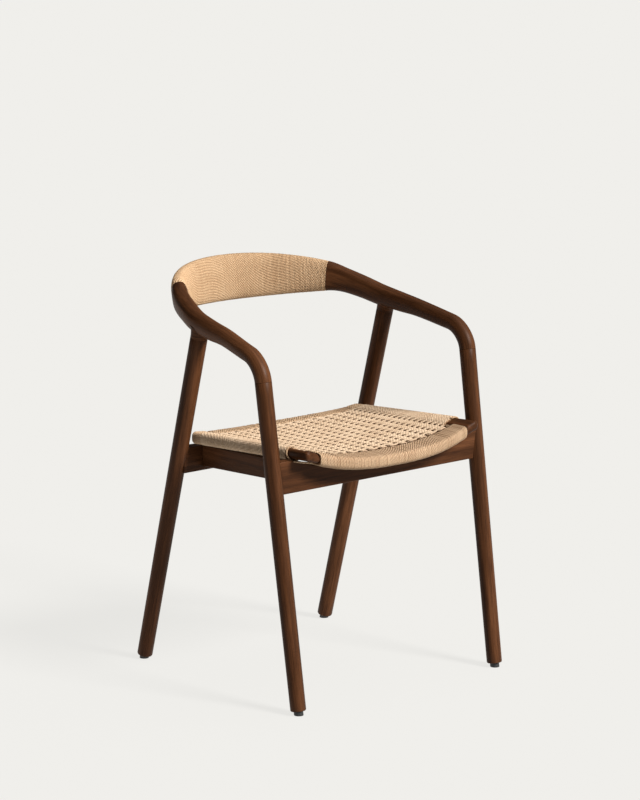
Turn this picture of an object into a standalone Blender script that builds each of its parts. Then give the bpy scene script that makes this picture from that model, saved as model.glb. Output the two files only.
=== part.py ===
"""Wooden armchair with a woven paper-cord seat and a cord-wrapped crest.

Units are metres, +Z is up and the chair faces -Y. Pieces named right are on +X,
which is on the right as seen from in front and on the sitter's left.
The origin is on the floor, under the middle of the chair's overall box.
"""

import math

import bmesh
import bpy
import numpy as np
from mathutils import Matrix, Vector

# ---------------------------------------------------------------- overall size
OVERALL_WIDTH = 0.5236        # over the two arms, at the front bend
OVERALL_DEPTH = 0.5359        # front feet to the back of the crest
OVERALL_HEIGHT = 0.7432       # floor to the top of the crest

# ---------------------------------------------------------------- clearances
GAP = 0.0003                  # between two pieces that touch
HOLE_END_GAP = 0.0010         # glue space at the end of a dowel

# ---------------------------------------------------------------- legs
FRONT_LEG_FOOT_RADIUS = 0.0143
FRONT_LEG_TOP_RADIUS = 0.0154
FRONT_LEG_SPLAY = 0.1507      # forward travel per metre of height
FRONT_LEG_TOE_IN = 0.0100     # sideways travel per metre of height
REAR_LEG_FOOT_RADIUS = 0.0145
REAR_LEG_TOP_RADIUS = 0.0160
REAR_LEG_SPLAY = 0.2751
REAR_FOOT_INSET = 0.0228      # rear foot's axis inside the arm's widest line
REAR_FOOT_SETBACK = 0.0490    # rear foot's axis in front of the chair's back
FOOT_CHAMFER = 0.0022
GLIDE_RADIUS = 0.0087
GLIDE_HEIGHT = 0.0075         # under the wood, on the leg's axis
GLIDE_RIM = 0.0022            # rounding of the glide's lower edge
GLIDE_STEM_RADIUS = 0.0032
GLIDE_STEM_LENGTH = 0.0160

# ---------------------------------------------------------------- arms
ARM_RADIUS = 0.0154           # at the bend above the front leg
BEND_HEIGHT = 0.6306          # where the leg's and the arm's axes would cross
BEND_TANGENT = 0.0380         # length of leg axis that the bend takes up
ARM_FRONT_SLOPE = 0.2000      # rise of the arm just behind the bend
ARM_FRONT_TOE_IN = 0.0585     # inward travel of the arm just behind the bend
REAR_LEG_OUTSET = 0.0008      # the rear leg's axis outside the arm's axis
COLLAR_DEPTH = 0.0265         # rear leg's joint under the arm's axis
COLLAR_FLARE = 0.0100         # how far the collar spreads along the arm

# ---------------------------------------------------------------- crest
CREST_HEIGHT = 0.0878         # at the middle, with the cord
CREST_END_HEIGHT = 0.0570     # where the cord ends
CREST_THICKNESS = 0.0250      # at the middle, with the cord
CREST_END_THICKNESS = 0.0310  # where the cord ends
CREST_SWEEP = math.radians(57.0)
CREST_END_INSET = 0.0674      # end of the cord inside the arm's widest line
CREST_END_DROP = 0.0035       # the axis falls this much from middle to cord end
CREST_LEAN = math.radians(10.0)
CREST_TAPER = 2.1             # how late its height falls towards the ends
CREST_SQUARENESS = 2.6        # 2 is an ellipse, higher is flatter
WRAP_THICKNESS = 0.0026

# ---------------------------------------------------------------- aprons
FRONT_APRON_BOTTOM = 0.3920
FRONT_APRON_THICKNESS = 0.0200
FRONT_APRON_CLEARANCE = 0.0015  # under the cord of the front rail
REAR_APRON_BOTTOM = 0.3785
REAR_APRON_TOP = 0.4265
REAR_APRON_THICKNESS = 0.0220
REAR_APRON_ADVANCE = 0.0040   # rear apron's middle in front of the legs' axis
REAR_APRON_DISH = 0.0150      # its top edge clears the sagging seat
SIDE_BOARD_FRONT_BOTTOM = 0.3995
SIDE_BOARD_REAR_BOTTOM = 0.3865
SIDE_BOARD_THICKNESS = 0.0200
SIDE_BOARD_INSET = 0.0235     # outer face inside the rear of the seat frame
CORNER_BLOCK_SIZE = 0.0340
CORNER_BLOCK_BOTTOM = 0.3980
FRONT_BLOCK_HEIGHT = 0.0240
EDGE_ROUND = 0.0015
LEG_CUT_MARGIN = 0.0300       # the hollow for a leg runs past the apron

# ---------------------------------------------------------------- seat
SEAT_REAR_HEIGHT = 0.4550     # top of the cord at the rear corners
SEAT_RISE = 0.0212            # front corners above the rear corners
SEAT_FRONT_OVERHANG = 0.0387  # front corners ahead of the front apron
SEAT_REAR_OVERLAP = 0.0011    # rear corners behind the rear apron's inner face
SEAT_REAR_WIDTH = 0.4070      # over the cord
SEAT_FRONT_WIDTH = 0.4160     # over the bare front corners
FRONT_DIP = 0.0300            # the front rail sags this much at the middle
REAR_DIP = 0.0085
DIP_EDGE = 0.0080             # the sag starts this far inside the front corners
DIP_POWER = 2.6
FRONT_BOW = 0.0130            # the front rail bulges forward at the middle
REAR_BOW = 0.0120             # the rear rail bulges backward
SIDE_RAIL_WIDTH = 0.0300
FRONT_RAIL_WIDTH = 0.0380     # at its ends; its inner edge is straight
REAR_RAIL_WIDTH = 0.0290
RAIL_THICKNESS = 0.0180
RAIL_ROUND = 0.0060
CORNER_ROUND = 0.0070         # bare front corners, seen from above
CORD_THICKNESS = 0.0028       # one layer of cord on a rail
PANEL_THICKNESS = 0.0056      # two crossed layers of cord

# ---------------------------------------------------------------- fixings
DOWEL_RADIUS = 0.0040
DOWEL_LENGTH = 0.0280
APRON_DOWEL_EDGE = 0.0130     # lowest apron dowel above the apron's bottom
APRON_DOWEL_PITCH = 0.0200
ARM_DOWEL_RADIUS = 0.0050
ARM_DOWEL_LENGTH = 0.0380
CREST_DOWEL_PITCH = 0.0220
SCREW_RADIUS = 0.0021
SCREW_HEAD_RADIUS = 0.0040
SCREW_HEAD_HEIGHT = 0.0024
SCREW_RECESS = 0.0080         # counterbore in the rear corner block
SCREW_BITE = 0.0120           # thread in the seat's rear rail
SCREW_INSET = 0.0120          # from the side board and, more, from the apron
SEAT_DOWEL_RADIUS = 0.0030
SEAT_DOWEL_LENGTH = 0.0200

# ---------------------------------------------------------------- resolution
ROUND_STEPS = 24              # around a leg
SMALL_STEPS = 12              # around a dowel, a screw or a hole
GLIDE_STEPS = 16
SECTION_STEPS = 20            # around the arms and the crest
SPAN_STEPS = 3                # between two arm stations
BEND_STEPS = 7
CREST_STEPS = 16
DISH_STEPS = 12

RIGHT = 1
LEFT = -1
SIDE_NAMES = {RIGHT: "right", LEFT: "left"}


# ============================================================ small geometry
def lerp(a, b, t):
    return a + (b - a) * t


def mirrored(point, side):
    return Vector((point.x * side, point.y, point.z))


def superellipse(half_width, half_height, squareness, steps=SECTION_STEPS):
    """Outline of a section as (sideways, upward) pairs."""
    outline = []
    for i in range(steps):
        angle = 2 * math.pi * i / steps
        c = math.cos(angle)
        s = math.sin(angle)
        outline.append((
            half_width * math.copysign(abs(c) ** (2 / squareness), c),
            half_height * math.copysign(abs(s) ** (2 / squareness), s),
        ))
    return outline


def leaned(outline, lean):
    """The outline turned so that its top moves outward."""
    c = math.cos(lean)
    s = math.sin(lean)
    return [(u * c + v * s, v * c - u * s) for u, v in outline]


def spline_rows(rows, before, after, steps):
    """Catmull-Rom interpolation of rows of numbers, with the two end guides."""
    chain = [before] + rows + [after]
    out = []
    for i in range(1, len(chain) - 2):
        p0, p1, p2, p3 = (np.array(row) for row in chain[i - 1:i + 3])
        for k in range(steps):
            t = k / steps
            out.append(0.5 * (
                2 * p1
                + (p2 - p0) * t
                + (2 * p0 - 5 * p1 + 4 * p2 - p3) * t ** 2
                + (3 * p1 - p0 - 3 * p2 + p3) * t ** 3
            ))
    out.append(np.array(rows[-1]))
    return out


# ============================================================ derived geometry
ARM_HALF = OVERALL_WIDTH / 2 - ARM_RADIUS
CHAIR_BACK_Y = OVERALL_DEPTH / 2
FRONT_SPLAY_ANGLE = math.atan(FRONT_LEG_SPLAY)
FRONT_FOOT_Y = (
    -CHAIR_BACK_Y
    + FRONT_LEG_FOOT_RADIUS * math.cos(FRONT_SPLAY_ANGLE)
    - GLIDE_HEIGHT * FRONT_LEG_SPLAY
    - FOOT_CHAMFER * math.sin(FRONT_SPLAY_ANGLE)
)

CREST_OUTLINE = leaned(
    superellipse(CREST_THICKNESS / 2, CREST_HEIGHT / 2, CREST_SQUARENESS, 360),
    CREST_LEAN,
)
CREST_AXIS_Y = CHAIR_BACK_Y - max(u for u, v in CREST_OUTLINE)
CREST_AXIS_Z = OVERALL_HEIGHT - max(v for u, v in CREST_OUTLINE)
CREST_RADIUS = (ARM_HALF - CREST_END_INSET) / math.sin(CREST_SWEEP)


def front_leg_axis(height):
    """Point on the right front leg's axis at a height above the floor."""
    x = ARM_HALF - FRONT_LEG_TOE_IN * (BEND_HEIGHT - height)
    return Vector((x, FRONT_FOOT_Y + FRONT_LEG_SPLAY * height, height))


FRONT_LEG_UP = (front_leg_axis(1.0) - front_leg_axis(0.0)).normalized()
BEND_CORNER = front_leg_axis(BEND_HEIGHT)
FRONT_JOINT = BEND_CORNER - FRONT_LEG_UP * BEND_TANGENT
ARM_DIRECTION = Vector((-ARM_FRONT_TOE_IN, 1.0, ARM_FRONT_SLOPE)).normalized()
ARM_START = BEND_CORNER + ARM_DIRECTION * BEND_TANGENT


def crest_axis(angle):
    """Point on the crest's axis, at an angle from the middle of the back."""
    return Vector((
        CREST_RADIUS * math.sin(angle),
        CREST_AXIS_Y - CREST_RADIUS * (1 - math.cos(angle)),
        CREST_AXIS_Z - CREST_END_DROP * (angle / CREST_SWEEP) ** 2,
    ))


def crest_tangent(angle):
    """Direction of the crest's axis, from the right arm to the left."""
    step = 0.01
    return (crest_axis(angle - step) - crest_axis(angle + step)).normalized()


def crest_half_size(angle):
    """Half thickness and half height of the crest, with the cord."""
    t = abs(angle) / CREST_SWEEP
    return (
        lerp(CREST_THICKNESS, CREST_END_THICKNESS, t ** 2) / 2,
        lerp(CREST_HEIGHT, CREST_END_HEIGHT, t ** CREST_TAPER) / 2,
    )


def crest_row(angle):
    half_thickness, half_height = crest_half_size(angle)
    return [
        *crest_axis(angle), half_thickness, half_height,
        CREST_LEAN, CREST_SQUARENESS,
    ]


# How the arm swells and turns from the front bend to the crest. Along: share of
# the way back. Inward and upward: share of the travel to the crest. Then the
# half width and the half height, the share of the crest's lean and squareness.
ARM_STATIONS = (
    (0.268, 0.157, 0.275, 0.0160, 0.0163, 0.0, 0.1),
    (0.434, 0.226, 0.385, 0.0168, 0.0183, 0.1, 0.2),
    (0.618, 0.340, 0.530, 0.0174, 0.0200, 0.3, 0.3),
    (0.757, 0.500, 0.715, 0.0172, 0.0210, 0.5, 0.5),
    (0.896, 0.726, 0.892, 0.0165, 0.0232, 0.8, 0.8),
)


def arm_rows():
    """Axis point, half width, half height, lean and squareness along the arm."""
    start = [*ARM_START, ARM_RADIUS, ARM_RADIUS, 0.0, 2.0]
    end = crest_row(CREST_SWEEP)
    rows = [start]
    for along, inward, upward, wide, high, lean, square in ARM_STATIONS:
        rows.append([
            lerp(ARM_START.x, end[0], inward),
            lerp(ARM_START.y, end[1], along),
            lerp(ARM_START.z, end[2], upward),
            wide,
            high,
            CREST_LEAN * lean,
            lerp(2.0, CREST_SQUARENESS, square),
        ])
    rows.append(end)
    ahead = ARM_START - ARM_DIRECTION * 0.06
    before = [*ahead, ARM_RADIUS, ARM_RADIUS, 0.0, 2.0]
    after = crest_row(CREST_SWEEP * 0.8)
    bend = []
    for k in range(BEND_STEPS):
        t = k / BEND_STEPS
        point = bend_point(t)
        radius = lerp(FRONT_LEG_TOP_RADIUS, ARM_RADIUS, t)
        bend.append(np.array([*point, radius, radius, 0.0, 2.0]))
    return bend + spline_rows(rows, before, after, SPAN_STEPS)


def bend_point(t):
    """Point on the bend between the front leg and the arm."""
    handle = 0.552
    a = FRONT_JOINT
    b = FRONT_JOINT.lerp(BEND_CORNER, handle)
    c = ARM_START.lerp(BEND_CORNER, handle)
    d = ARM_START
    return (
        a * (1 - t) ** 3
        + b * 3 * t * (1 - t) ** 2
        + c * 3 * t ** 2 * (1 - t)
        + d * t ** 3
    )


ARM_ROWS = arm_rows()
REAR_FOOT = Vector((ARM_HALF - REAR_FOOT_INSET, CHAIR_BACK_Y - REAR_FOOT_SETBACK, 0.0))


def rear_leg_head():
    """Where the right rear leg's axis reaches the arm's axis."""
    def miss(row):
        return row[1] - (REAR_FOOT.y - REAR_LEG_SPLAY * row[2])

    for low, high in zip(ARM_ROWS, ARM_ROWS[1:]):
        if miss(low) <= 0 < miss(high):
            t = miss(low) / (miss(low) - miss(high))
            return Vector(lerp(low[:3], high[:3], t)) + Vector((REAR_LEG_OUTSET, 0, 0))
    raise ValueError("the rear leg misses the arm")


REAR_HEAD = rear_leg_head()
REAR_LEG_UP = (REAR_HEAD - REAR_FOOT).normalized()
REAR_JOINT = REAR_HEAD - REAR_LEG_UP * COLLAR_DEPTH


def rear_leg_axis(height):
    return REAR_FOOT + REAR_LEG_UP * (height / REAR_LEG_UP.z)


LEG_ENDS = {
    "front": (FRONT_LEG_FOOT_RADIUS, FRONT_LEG_TOP_RADIUS, FRONT_JOINT.z),
    "rear": (REAR_LEG_FOOT_RADIUS, REAR_LEG_TOP_RADIUS, REAR_JOINT.z),
}


def leg_radius(end, height):
    foot, top, joint_height = LEG_ENDS[end]
    return lerp(foot, top, (height - GLIDE_HEIGHT) / (joint_height - GLIDE_HEIGHT))


# ---------------------------------------------------------------- aprons' places
FRONT_APRON_Y = front_leg_axis((FRONT_APRON_BOTTOM + SEAT_REAR_HEIGHT) / 2).y
FRONT_APRON_INNER_Y = FRONT_APRON_Y + FRONT_APRON_THICKNESS / 2
REAR_APRON_MIDDLE = (REAR_APRON_BOTTOM + REAR_APRON_TOP) / 2
REAR_APRON_Y = rear_leg_axis(REAR_APRON_MIDDLE).y - REAR_APRON_ADVANCE
REAR_APRON_INNER_Y = REAR_APRON_Y - REAR_APRON_THICKNESS / 2

# ---------------------------------------------------------------- seat frame
SEAT_REAR_Y = REAR_APRON_INNER_Y + SEAT_REAR_OVERLAP
SEAT_FRONT_Y = FRONT_APRON_Y - FRONT_APRON_THICKNESS / 2 - SEAT_FRONT_OVERHANG
SEAT_DEPTH = SEAT_REAR_Y - SEAT_FRONT_Y
RAIL_REAR_Y = SEAT_REAR_Y - CORD_THICKNESS
RAIL_SLOPE = SEAT_RISE / SEAT_DEPTH
FRONT_RAIL_Y = SEAT_FRONT_Y + FRONT_RAIL_WIDTH / 2
REAR_RAIL_Y = RAIL_REAR_Y - REAR_RAIL_WIDTH / 2


def seat_half_width(y):
    """Half width of the bare seat frame at a place from rear to front."""
    t = (SEAT_REAR_Y - y) / SEAT_DEPTH
    rear = SEAT_REAR_WIDTH / 2 - CORD_THICKNESS
    return lerp(rear, SEAT_FRONT_WIDTH / 2, t)


def rail_axis_z(y):
    """Height of the middle of the seat's side rails."""
    rear = SEAT_REAR_HEIGHT - CORD_THICKNESS - RAIL_THICKNESS / 2
    return rear + RAIL_SLOPE * (SEAT_REAR_Y - y)


def seat_dip(x, y):
    """How far the seat sags under the line between its outer edges."""
    t = (SEAT_REAR_Y - y) / SEAT_DEPTH
    share = min(abs(x) / (SEAT_FRONT_WIDTH / 2 - DIP_EDGE), 1.0)
    return lerp(REAR_DIP, FRONT_DIP, min(t, 1.0)) * (1 - share ** DIP_POWER)


def rail_bow(x, y):
    """How far an end rail bulges away from the seat, at a place across it."""
    inner = seat_half_width(y) - SIDE_RAIL_WIDTH
    share = min(abs(x) / inner, 1.0)
    bow = FRONT_BOW if y < (SEAT_REAR_Y + SEAT_FRONT_Y) / 2 else REAR_BOW
    return bow * (1 - share ** 2)


BOARD_OUTER_X = SEAT_REAR_WIDTH / 2 - SIDE_BOARD_INSET
BOARD_INNER_X = BOARD_OUTER_X - SIDE_BOARD_THICKNESS


def board_top_z(y):
    """The side boards stay clear of the cord under the rails."""
    under = rail_axis_z(y) - RAIL_THICKNESS / 2 - CORD_THICKNESS
    return under - seat_dip(BOARD_INNER_X, y) - GAP


# ============================================================ scene and meshes
def clear_scene():
    for item in list(bpy.data.objects):
        bpy.data.objects.remove(item, do_unlink=True)


def make_collection(name):
    collection = bpy.data.collections.new(name)
    bpy.context.scene.collection.children.link(collection)
    return collection


def make_material(name, colour, roughness, metallic=0.0):
    material = bpy.data.materials.new(name)
    material.use_nodes = True
    shader = material.node_tree.nodes["Principled BSDF"]
    shader.inputs["Base Color"].default_value = (*colour, 1.0)
    shader.inputs["Roughness"].default_value = roughness
    shader.inputs["Metallic"].default_value = metallic
    return material


def add_object(name, mesh, collection, material=None):
    item = bpy.data.objects.new(name, mesh)
    collection.objects.link(item)
    if material is not None:
        mesh.materials.append(material)
    return item


def finish_mesh(name, build, smooth=True):
    """Mesh from a bmesh, with faces turned outward."""
    bmesh.ops.recalc_face_normals(build, faces=build.faces)
    mesh = bpy.data.meshes.new(name)
    build.to_mesh(mesh)
    build.free()
    if smooth:
        mesh.shade_smooth()
        mesh.set_sharp_from_angle(angle=math.radians(35))
    return mesh


def loft(name, rings):
    """Closed solid through rings of points."""
    build = bmesh.new()
    rows = [[build.verts.new(point) for point in ring] for ring in rings]
    count = len(rows[0])
    for low, high in zip(rows, rows[1:]):
        for i in range(count):
            j = (i + 1) % count
            build.faces.new((low[i], low[j], high[j], high[i]))
    build.faces.new(rows[0])
    build.faces.new(rows[-1])
    return finish_mesh(name, build)


def ring_loft(name, outer_rings, inner_rings):
    """Closed sleeve: an outer and an inner skin joined at both ends."""
    build = bmesh.new()
    outer = [[build.verts.new(point) for point in ring] for ring in outer_rings]
    inner = [[build.verts.new(point) for point in ring] for ring in inner_rings]
    count = len(outer[0])
    for skin in (outer, inner):
        for low, high in zip(skin, skin[1:]):
            for i in range(count):
                j = (i + 1) % count
                build.faces.new((low[i], low[j], high[j], high[i]))
    for end in (0, -1):
        for i in range(count):
            j = (i + 1) % count
            build.faces.new((outer[end][i], outer[end][j], inner[end][j], inner[end][i]))
    return finish_mesh(name, build)


def cylinder_mesh(name, start, end, radius, end_radius=None, steps=ROUND_STEPS):
    """Capped cylinder or cone from one point to another."""
    axis = end - start
    turn = Vector((0, 0, 1)).rotation_difference(axis).to_matrix().to_4x4()
    place = Matrix.Translation((start + end) / 2) @ turn
    build = bmesh.new()
    bmesh.ops.create_cone(
        build, cap_ends=True, segments=steps, radius1=radius,
        radius2=radius if end_radius is None else end_radius,
        depth=axis.length, matrix=place,
    )
    return finish_mesh(name, build)


def box_mesh(name, low, high):
    build = bmesh.new()
    size = Vector(high) - Vector(low)
    place = Matrix.Translation((Vector(high) + Vector(low)) / 2)
    bmesh.ops.create_cube(build, size=1.0, matrix=place @ Matrix.Diagonal((*size, 1.0)))
    return finish_mesh(name, build, smooth=False)


def prism_mesh(name, outline, push):
    """Flat outline extruded along a vector."""
    build = bmesh.new()
    build.faces.new([build.verts.new(point) for point in outline])
    thicken(build, push)
    return finish_mesh(name, build, smooth=False)


def thicken(build, push):
    """Turn an open sheet into a solid by pushing a copy of it along a vector."""
    grown = bmesh.ops.extrude_face_region(build, geom=build.faces[:], use_keep_orig=True)
    moved = [item for item in grown["geom"] if isinstance(item, bmesh.types.BMVert)]
    bmesh.ops.translate(build, verts=moved, vec=push)


def turned(name, profile, foot, up, collection, material, steps=ROUND_STEPS):
    """Round solid: a profile of (radius, height), turned about its axis."""
    build = bmesh.new()
    points = [build.verts.new((radius, 0.0, height)) for radius, height in profile]
    for a, b in zip(points, points[1:]):
        build.edges.new((a, b))
    mesh = bpy.data.meshes.new(name)
    build.to_mesh(mesh)
    build.free()
    item = add_object(name, mesh, collection, material)
    screw = item.modifiers.new("turn", "SCREW")
    screw.axis = "Z"
    screw.angle = 2 * math.pi
    screw.steps = steps
    screw.render_steps = steps
    screw.use_merge_vertices = True
    screw.merge_threshold = 0.00001
    item.matrix_world = (
        Matrix.Translation(foot)
        @ Vector((0, 0, 1)).rotation_difference(up).to_matrix().to_4x4()
    )
    return item


def add_bevel(item, width, segments=2):
    bevel = item.modifiers.new("edges", "BEVEL")
    bevel.width = width
    bevel.segments = segments
    bevel.limit_method = "ANGLE"
    bevel.angle_limit = math.radians(50)


def boolean(item, cutter, operation="DIFFERENCE"):
    modifier = item.modifiers.new(cutter.name, "BOOLEAN")
    modifier.operation = operation
    modifier.solver = "EXACT"
    modifier.object = cutter


class Chair:
    """Collections and materials that every piece uses."""

    def __init__(self):
        self.parts = make_collection("armchair")
        self.cutters = make_collection("cutters")
        self.wood = make_material("stained_wood", (0.098, 0.043, 0.024), 0.42)
        self.pale_wood = make_material("beech_dowel", (0.55, 0.36, 0.20), 0.70)
        self.cord = make_material("paper_cord", (0.70, 0.50, 0.31), 0.85)
        self.steel = make_material("zinc_steel", (0.62, 0.62, 0.60), 0.35, 1.0)
        self.plastic = make_material("black_plastic", (0.012, 0.012, 0.012), 0.50)

    def part(self, name, mesh, material=None):
        return add_object(name, mesh, self.parts, material or self.wood)

    def cutter(self, name, mesh):
        item = add_object(name, mesh, self.cutters)
        item.hide_render = True
        item.display_type = "WIRE"
        return item

    def pin(self, name, middle, direction, radius, length, hosts, material=None):
        """Dowel with a blind hole in each piece that it joins."""
        half = direction.normalized() * length / 2
        mesh = cylinder_mesh(
            name, middle - half, middle + half, radius, steps=SMALL_STEPS,
        )
        self.part(name, mesh, material or self.pale_wood)
        reach = direction.normalized() * (length / 2 + HOLE_END_GAP)
        hole_name = name + "_hole"
        hole = cylinder_mesh(
            hole_name, middle - reach, middle + reach, radius + GAP, steps=SMALL_STEPS,
        )
        cutter = self.cutter(hole_name, hole)
        for host in hosts:
            boolean(host, cutter)


# ============================================================ legs and glides
def leg_profile(length, foot_radius, top_radius):
    """Tapered leg with a dowel hole in its top and a stem hole in its foot."""
    dowel_hole = ARM_DOWEL_RADIUS + GAP
    dowel_floor = length - ARM_DOWEL_LENGTH / 2 - HOLE_END_GAP
    stem_hole = GLIDE_STEM_RADIUS + GAP
    return [
        (0.0, dowel_floor),
        (dowel_hole, dowel_floor),
        (dowel_hole, length),
        (top_radius, length),
        (foot_radius, FOOT_CHAMFER),
        (foot_radius - FOOT_CHAMFER * 0.8, 0.0),
        (stem_hole, 0.0),
        (stem_hole, GLIDE_STEM_LENGTH + HOLE_END_GAP),
        (0.0, GLIDE_STEM_LENGTH + HOLE_END_GAP),
    ]


def glide_profile():
    """Nail-on glide: a stem in the leg and a head that stands on the floor."""
    drop = GLIDE_HEIGHT + GLIDE_RADIUS * 0.4
    return [
        (0.0, GLIDE_STEM_LENGTH),
        (GLIDE_STEM_RADIUS, GLIDE_STEM_LENGTH),
        (GLIDE_STEM_RADIUS, -GAP),
        (GLIDE_RADIUS, -GAP),
        (GLIDE_RADIUS, -drop + GLIDE_RIM),
        (GLIDE_RADIUS - GLIDE_RIM, -drop),
        (0.0, -drop),
    ]


def make_leg(chair, name, side, foot_axis, joint, up, foot_radius, top_radius):
    foot = foot_axis + up * (GLIDE_HEIGHT / up.z)
    length = (joint - foot).length - GAP
    place = mirrored(foot, side)
    direction = mirrored(up, side)
    leg = turned(
        name, leg_profile(length, foot_radius, top_radius),
        place, direction, chair.parts, chair.wood,
    )
    glide_name = name.replace("leg", "glide")
    glide = turned(
        glide_name, glide_profile(), place, direction, chair.parts, chair.plastic,
        GLIDE_STEPS,
    )
    floor_name = name + "_floor"
    reach = 0.03
    low = (place.x - reach, place.y - reach, -reach)
    high = (place.x + reach, place.y + reach, 0.0)
    boolean(glide, chair.cutter(floor_name, box_mesh(floor_name, low, high)))
    return leg


def make_legs(chair):
    legs = {}
    for side, word in SIDE_NAMES.items():
        legs["front", side] = make_leg(
            chair, f"front_leg_{word}", side, front_leg_axis(0.0), FRONT_JOINT,
            FRONT_LEG_UP, FRONT_LEG_FOOT_RADIUS, FRONT_LEG_TOP_RADIUS,
        )
        legs["rear", side] = make_leg(
            chair, f"rear_leg_{word}", side, REAR_FOOT, REAR_JOINT,
            REAR_LEG_UP, REAR_LEG_FOOT_RADIUS, REAR_LEG_TOP_RADIUS,
        )
    return legs


# ============================================================ arms and crest
def section_ring(centre, tangent, heading, outline, lean):
    """Section outline set square to the axis, leaning outward at the top."""
    sideways = Vector((heading.y, -heading.x, 0.0))
    sideways = (sideways - tangent * sideways.dot(tangent)).normalized()
    upward = sideways.cross(tangent).normalized()
    return [
        centre + sideways * u + upward * v
        for u, v in leaned(outline, lean)
    ]


def arm_rings(side):
    points = [Vector(row[:3]) for row in ARM_ROWS]
    rings = []
    for i, row in enumerate(ARM_ROWS):
        if i == 0:
            tangent = FRONT_LEG_UP.copy()
        elif i + 1 == len(points):
            tangent = crest_tangent(CREST_SWEEP)
        else:
            tangent = (points[i + 1] - points[i - 1]).normalized()
        heading = Vector((tangent.x, tangent.y, 0.0))
        if i < BEND_STEPS:
            heading = Vector((ARM_DIRECTION.x, ARM_DIRECTION.y, 0.0))
        heading.normalize()
        outline = superellipse(row[3], row[4], row[6])
        ring = section_ring(points[i], tangent, heading, outline, row[5])
        rings.append([mirrored(point, side) for point in ring])
    return rings


def collar_rings(side):
    """Flared foot of the arm, on top of the rear leg."""
    along = ARM_ROWS[-1][1] - ARM_START.y
    arm_way = Vector((0.0, along, 0.0)).normalized()
    arm_way = (arm_way - REAR_LEG_UP * arm_way.dot(REAR_LEG_UP)).normalized()
    across = arm_way.cross(REAR_LEG_UP).normalized()
    height = COLLAR_DEPTH * 0.75
    rings = []
    for k in range(6):
        angle = k / 5 * math.pi / 2
        flare = COLLAR_FLARE * (1 - math.cos(angle))
        rise = height * math.sin(angle)
        centre = REAR_JOINT + REAR_LEG_UP * rise + arm_way * flare * 0.2
        ring = []
        for i in range(ROUND_STEPS):
            turn = 2 * math.pi * i / ROUND_STEPS
            reach = REAR_LEG_TOP_RADIUS + flare
            point = (
                centre
                + arm_way * reach * math.cos(turn)
                + across * REAR_LEG_TOP_RADIUS * math.sin(turn)
            )
            ring.append(mirrored(point, side))
        rings.append(ring)
    return rings


def make_arms(chair):
    arms = {}
    for side, word in SIDE_NAMES.items():
        name = f"arm_{word}"
        arm = chair.part(name, loft(name, arm_rings(side)))
        collar_name = name + "_collar"
        collar = chair.cutter(collar_name, loft(collar_name, collar_rings(side)))
        boolean(arm, collar, "UNION")
        chair.pin(
            f"front_leg_dowel_{word}", mirrored(FRONT_JOINT, side),
            mirrored(FRONT_LEG_UP, side), ARM_DOWEL_RADIUS, ARM_DOWEL_LENGTH, (arm,),
        )
        chair.pin(
            f"rear_leg_dowel_{word}", mirrored(REAR_JOINT, side),
            mirrored(REAR_LEG_UP, side), ARM_DOWEL_RADIUS, ARM_DOWEL_LENGTH, (arm,),
        )
        arms[side] = arm
    return arms


def crest_rings(shrink, sweep):
    """Sections of the crest, all smaller by the same amount."""
    rings = []
    for k in range(CREST_STEPS + 1):
        angle = lerp(sweep, -sweep, k / CREST_STEPS)
        half_thickness, half_height = crest_half_size(angle)
        outline = superellipse(
            half_thickness - shrink, half_height - shrink, CREST_SQUARENESS,
        )
        tangent = crest_tangent(angle)
        heading = Vector((tangent.x, tangent.y, 0.0)).normalized()
        rings.append(section_ring(crest_axis(angle), tangent, heading, outline, CREST_LEAN))
    return rings


def make_crest(chair, arms):
    gap_angle = GAP / CREST_RADIUS
    core = chair.part("crest_rail", loft(
        "crest_rail", crest_rings(WRAP_THICKNESS, CREST_SWEEP - gap_angle),
    ))
    wrap_sweep = CREST_SWEEP - gap_angle
    chair.part("crest_cord_wrap", ring_loft(
        "crest_cord_wrap", crest_rings(0.0, wrap_sweep),
        crest_rings(WRAP_THICKNESS - GAP, wrap_sweep),
    ), chair.cord)
    tangent = crest_tangent(CREST_SWEEP)
    outward = Vector((math.sin(CREST_SWEEP), math.cos(CREST_SWEEP), 0.0))
    upward = outward.cross(tangent).normalized()
    upward = (upward * math.cos(CREST_LEAN) + outward * math.sin(CREST_LEAN)).normalized()
    for side, word in SIDE_NAMES.items():
        for sign, level in ((1, "upper"), (-1, "lower")):
            middle = crest_axis(CREST_SWEEP) + upward * sign * CREST_DOWEL_PITCH / 2
            chair.pin(
                f"crest_dowel_{level}_{word}", mirrored(middle, side),
                mirrored(tangent, side), DOWEL_RADIUS, DOWEL_LENGTH,
                (arms[side], core),
            )


# ============================================================ aprons and boards
FRONT_REST_X = seat_half_width(SEAT_FRONT_Y) - SIDE_RAIL_WIDTH


def front_apron_top(x):
    """The ends carry the bare side rails, the middle clears the front rail's cord."""
    rest = rail_axis_z(FRONT_APRON_INNER_Y) - RAIL_THICKNESS / 2 - GAP
    if abs(x) < FRONT_REST_X:
        rest = rail_axis_z(FRONT_RAIL_Y) - RAIL_THICKNESS / 2
        rest -= CORD_THICKNESS + FRONT_APRON_CLEARANCE
    return rest - seat_dip(x, SEAT_FRONT_Y)


def front_apron_places(half_length):
    """Places along the top edge: three on each raised end, the rest between."""
    end = [half_length, lerp(half_length, FRONT_REST_X, 0.5), FRONT_REST_X]
    between = FRONT_REST_X - EDGE_ROUND
    middle = [between * math.cos(math.pi * k / DISH_STEPS) for k in range(DISH_STEPS + 1)]
    return end + middle + [-x for x in reversed(end)]


def rear_apron_places(half_length):
    return [half_length * math.cos(math.pi * k / DISH_STEPS) for k in range(DISH_STEPS + 1)]


def rear_apron_top(x):
    share = min(abs(x) / BOARD_INNER_X, 1.0)
    return REAR_APRON_TOP - REAR_APRON_DISH * (1 - share ** 2)


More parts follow.
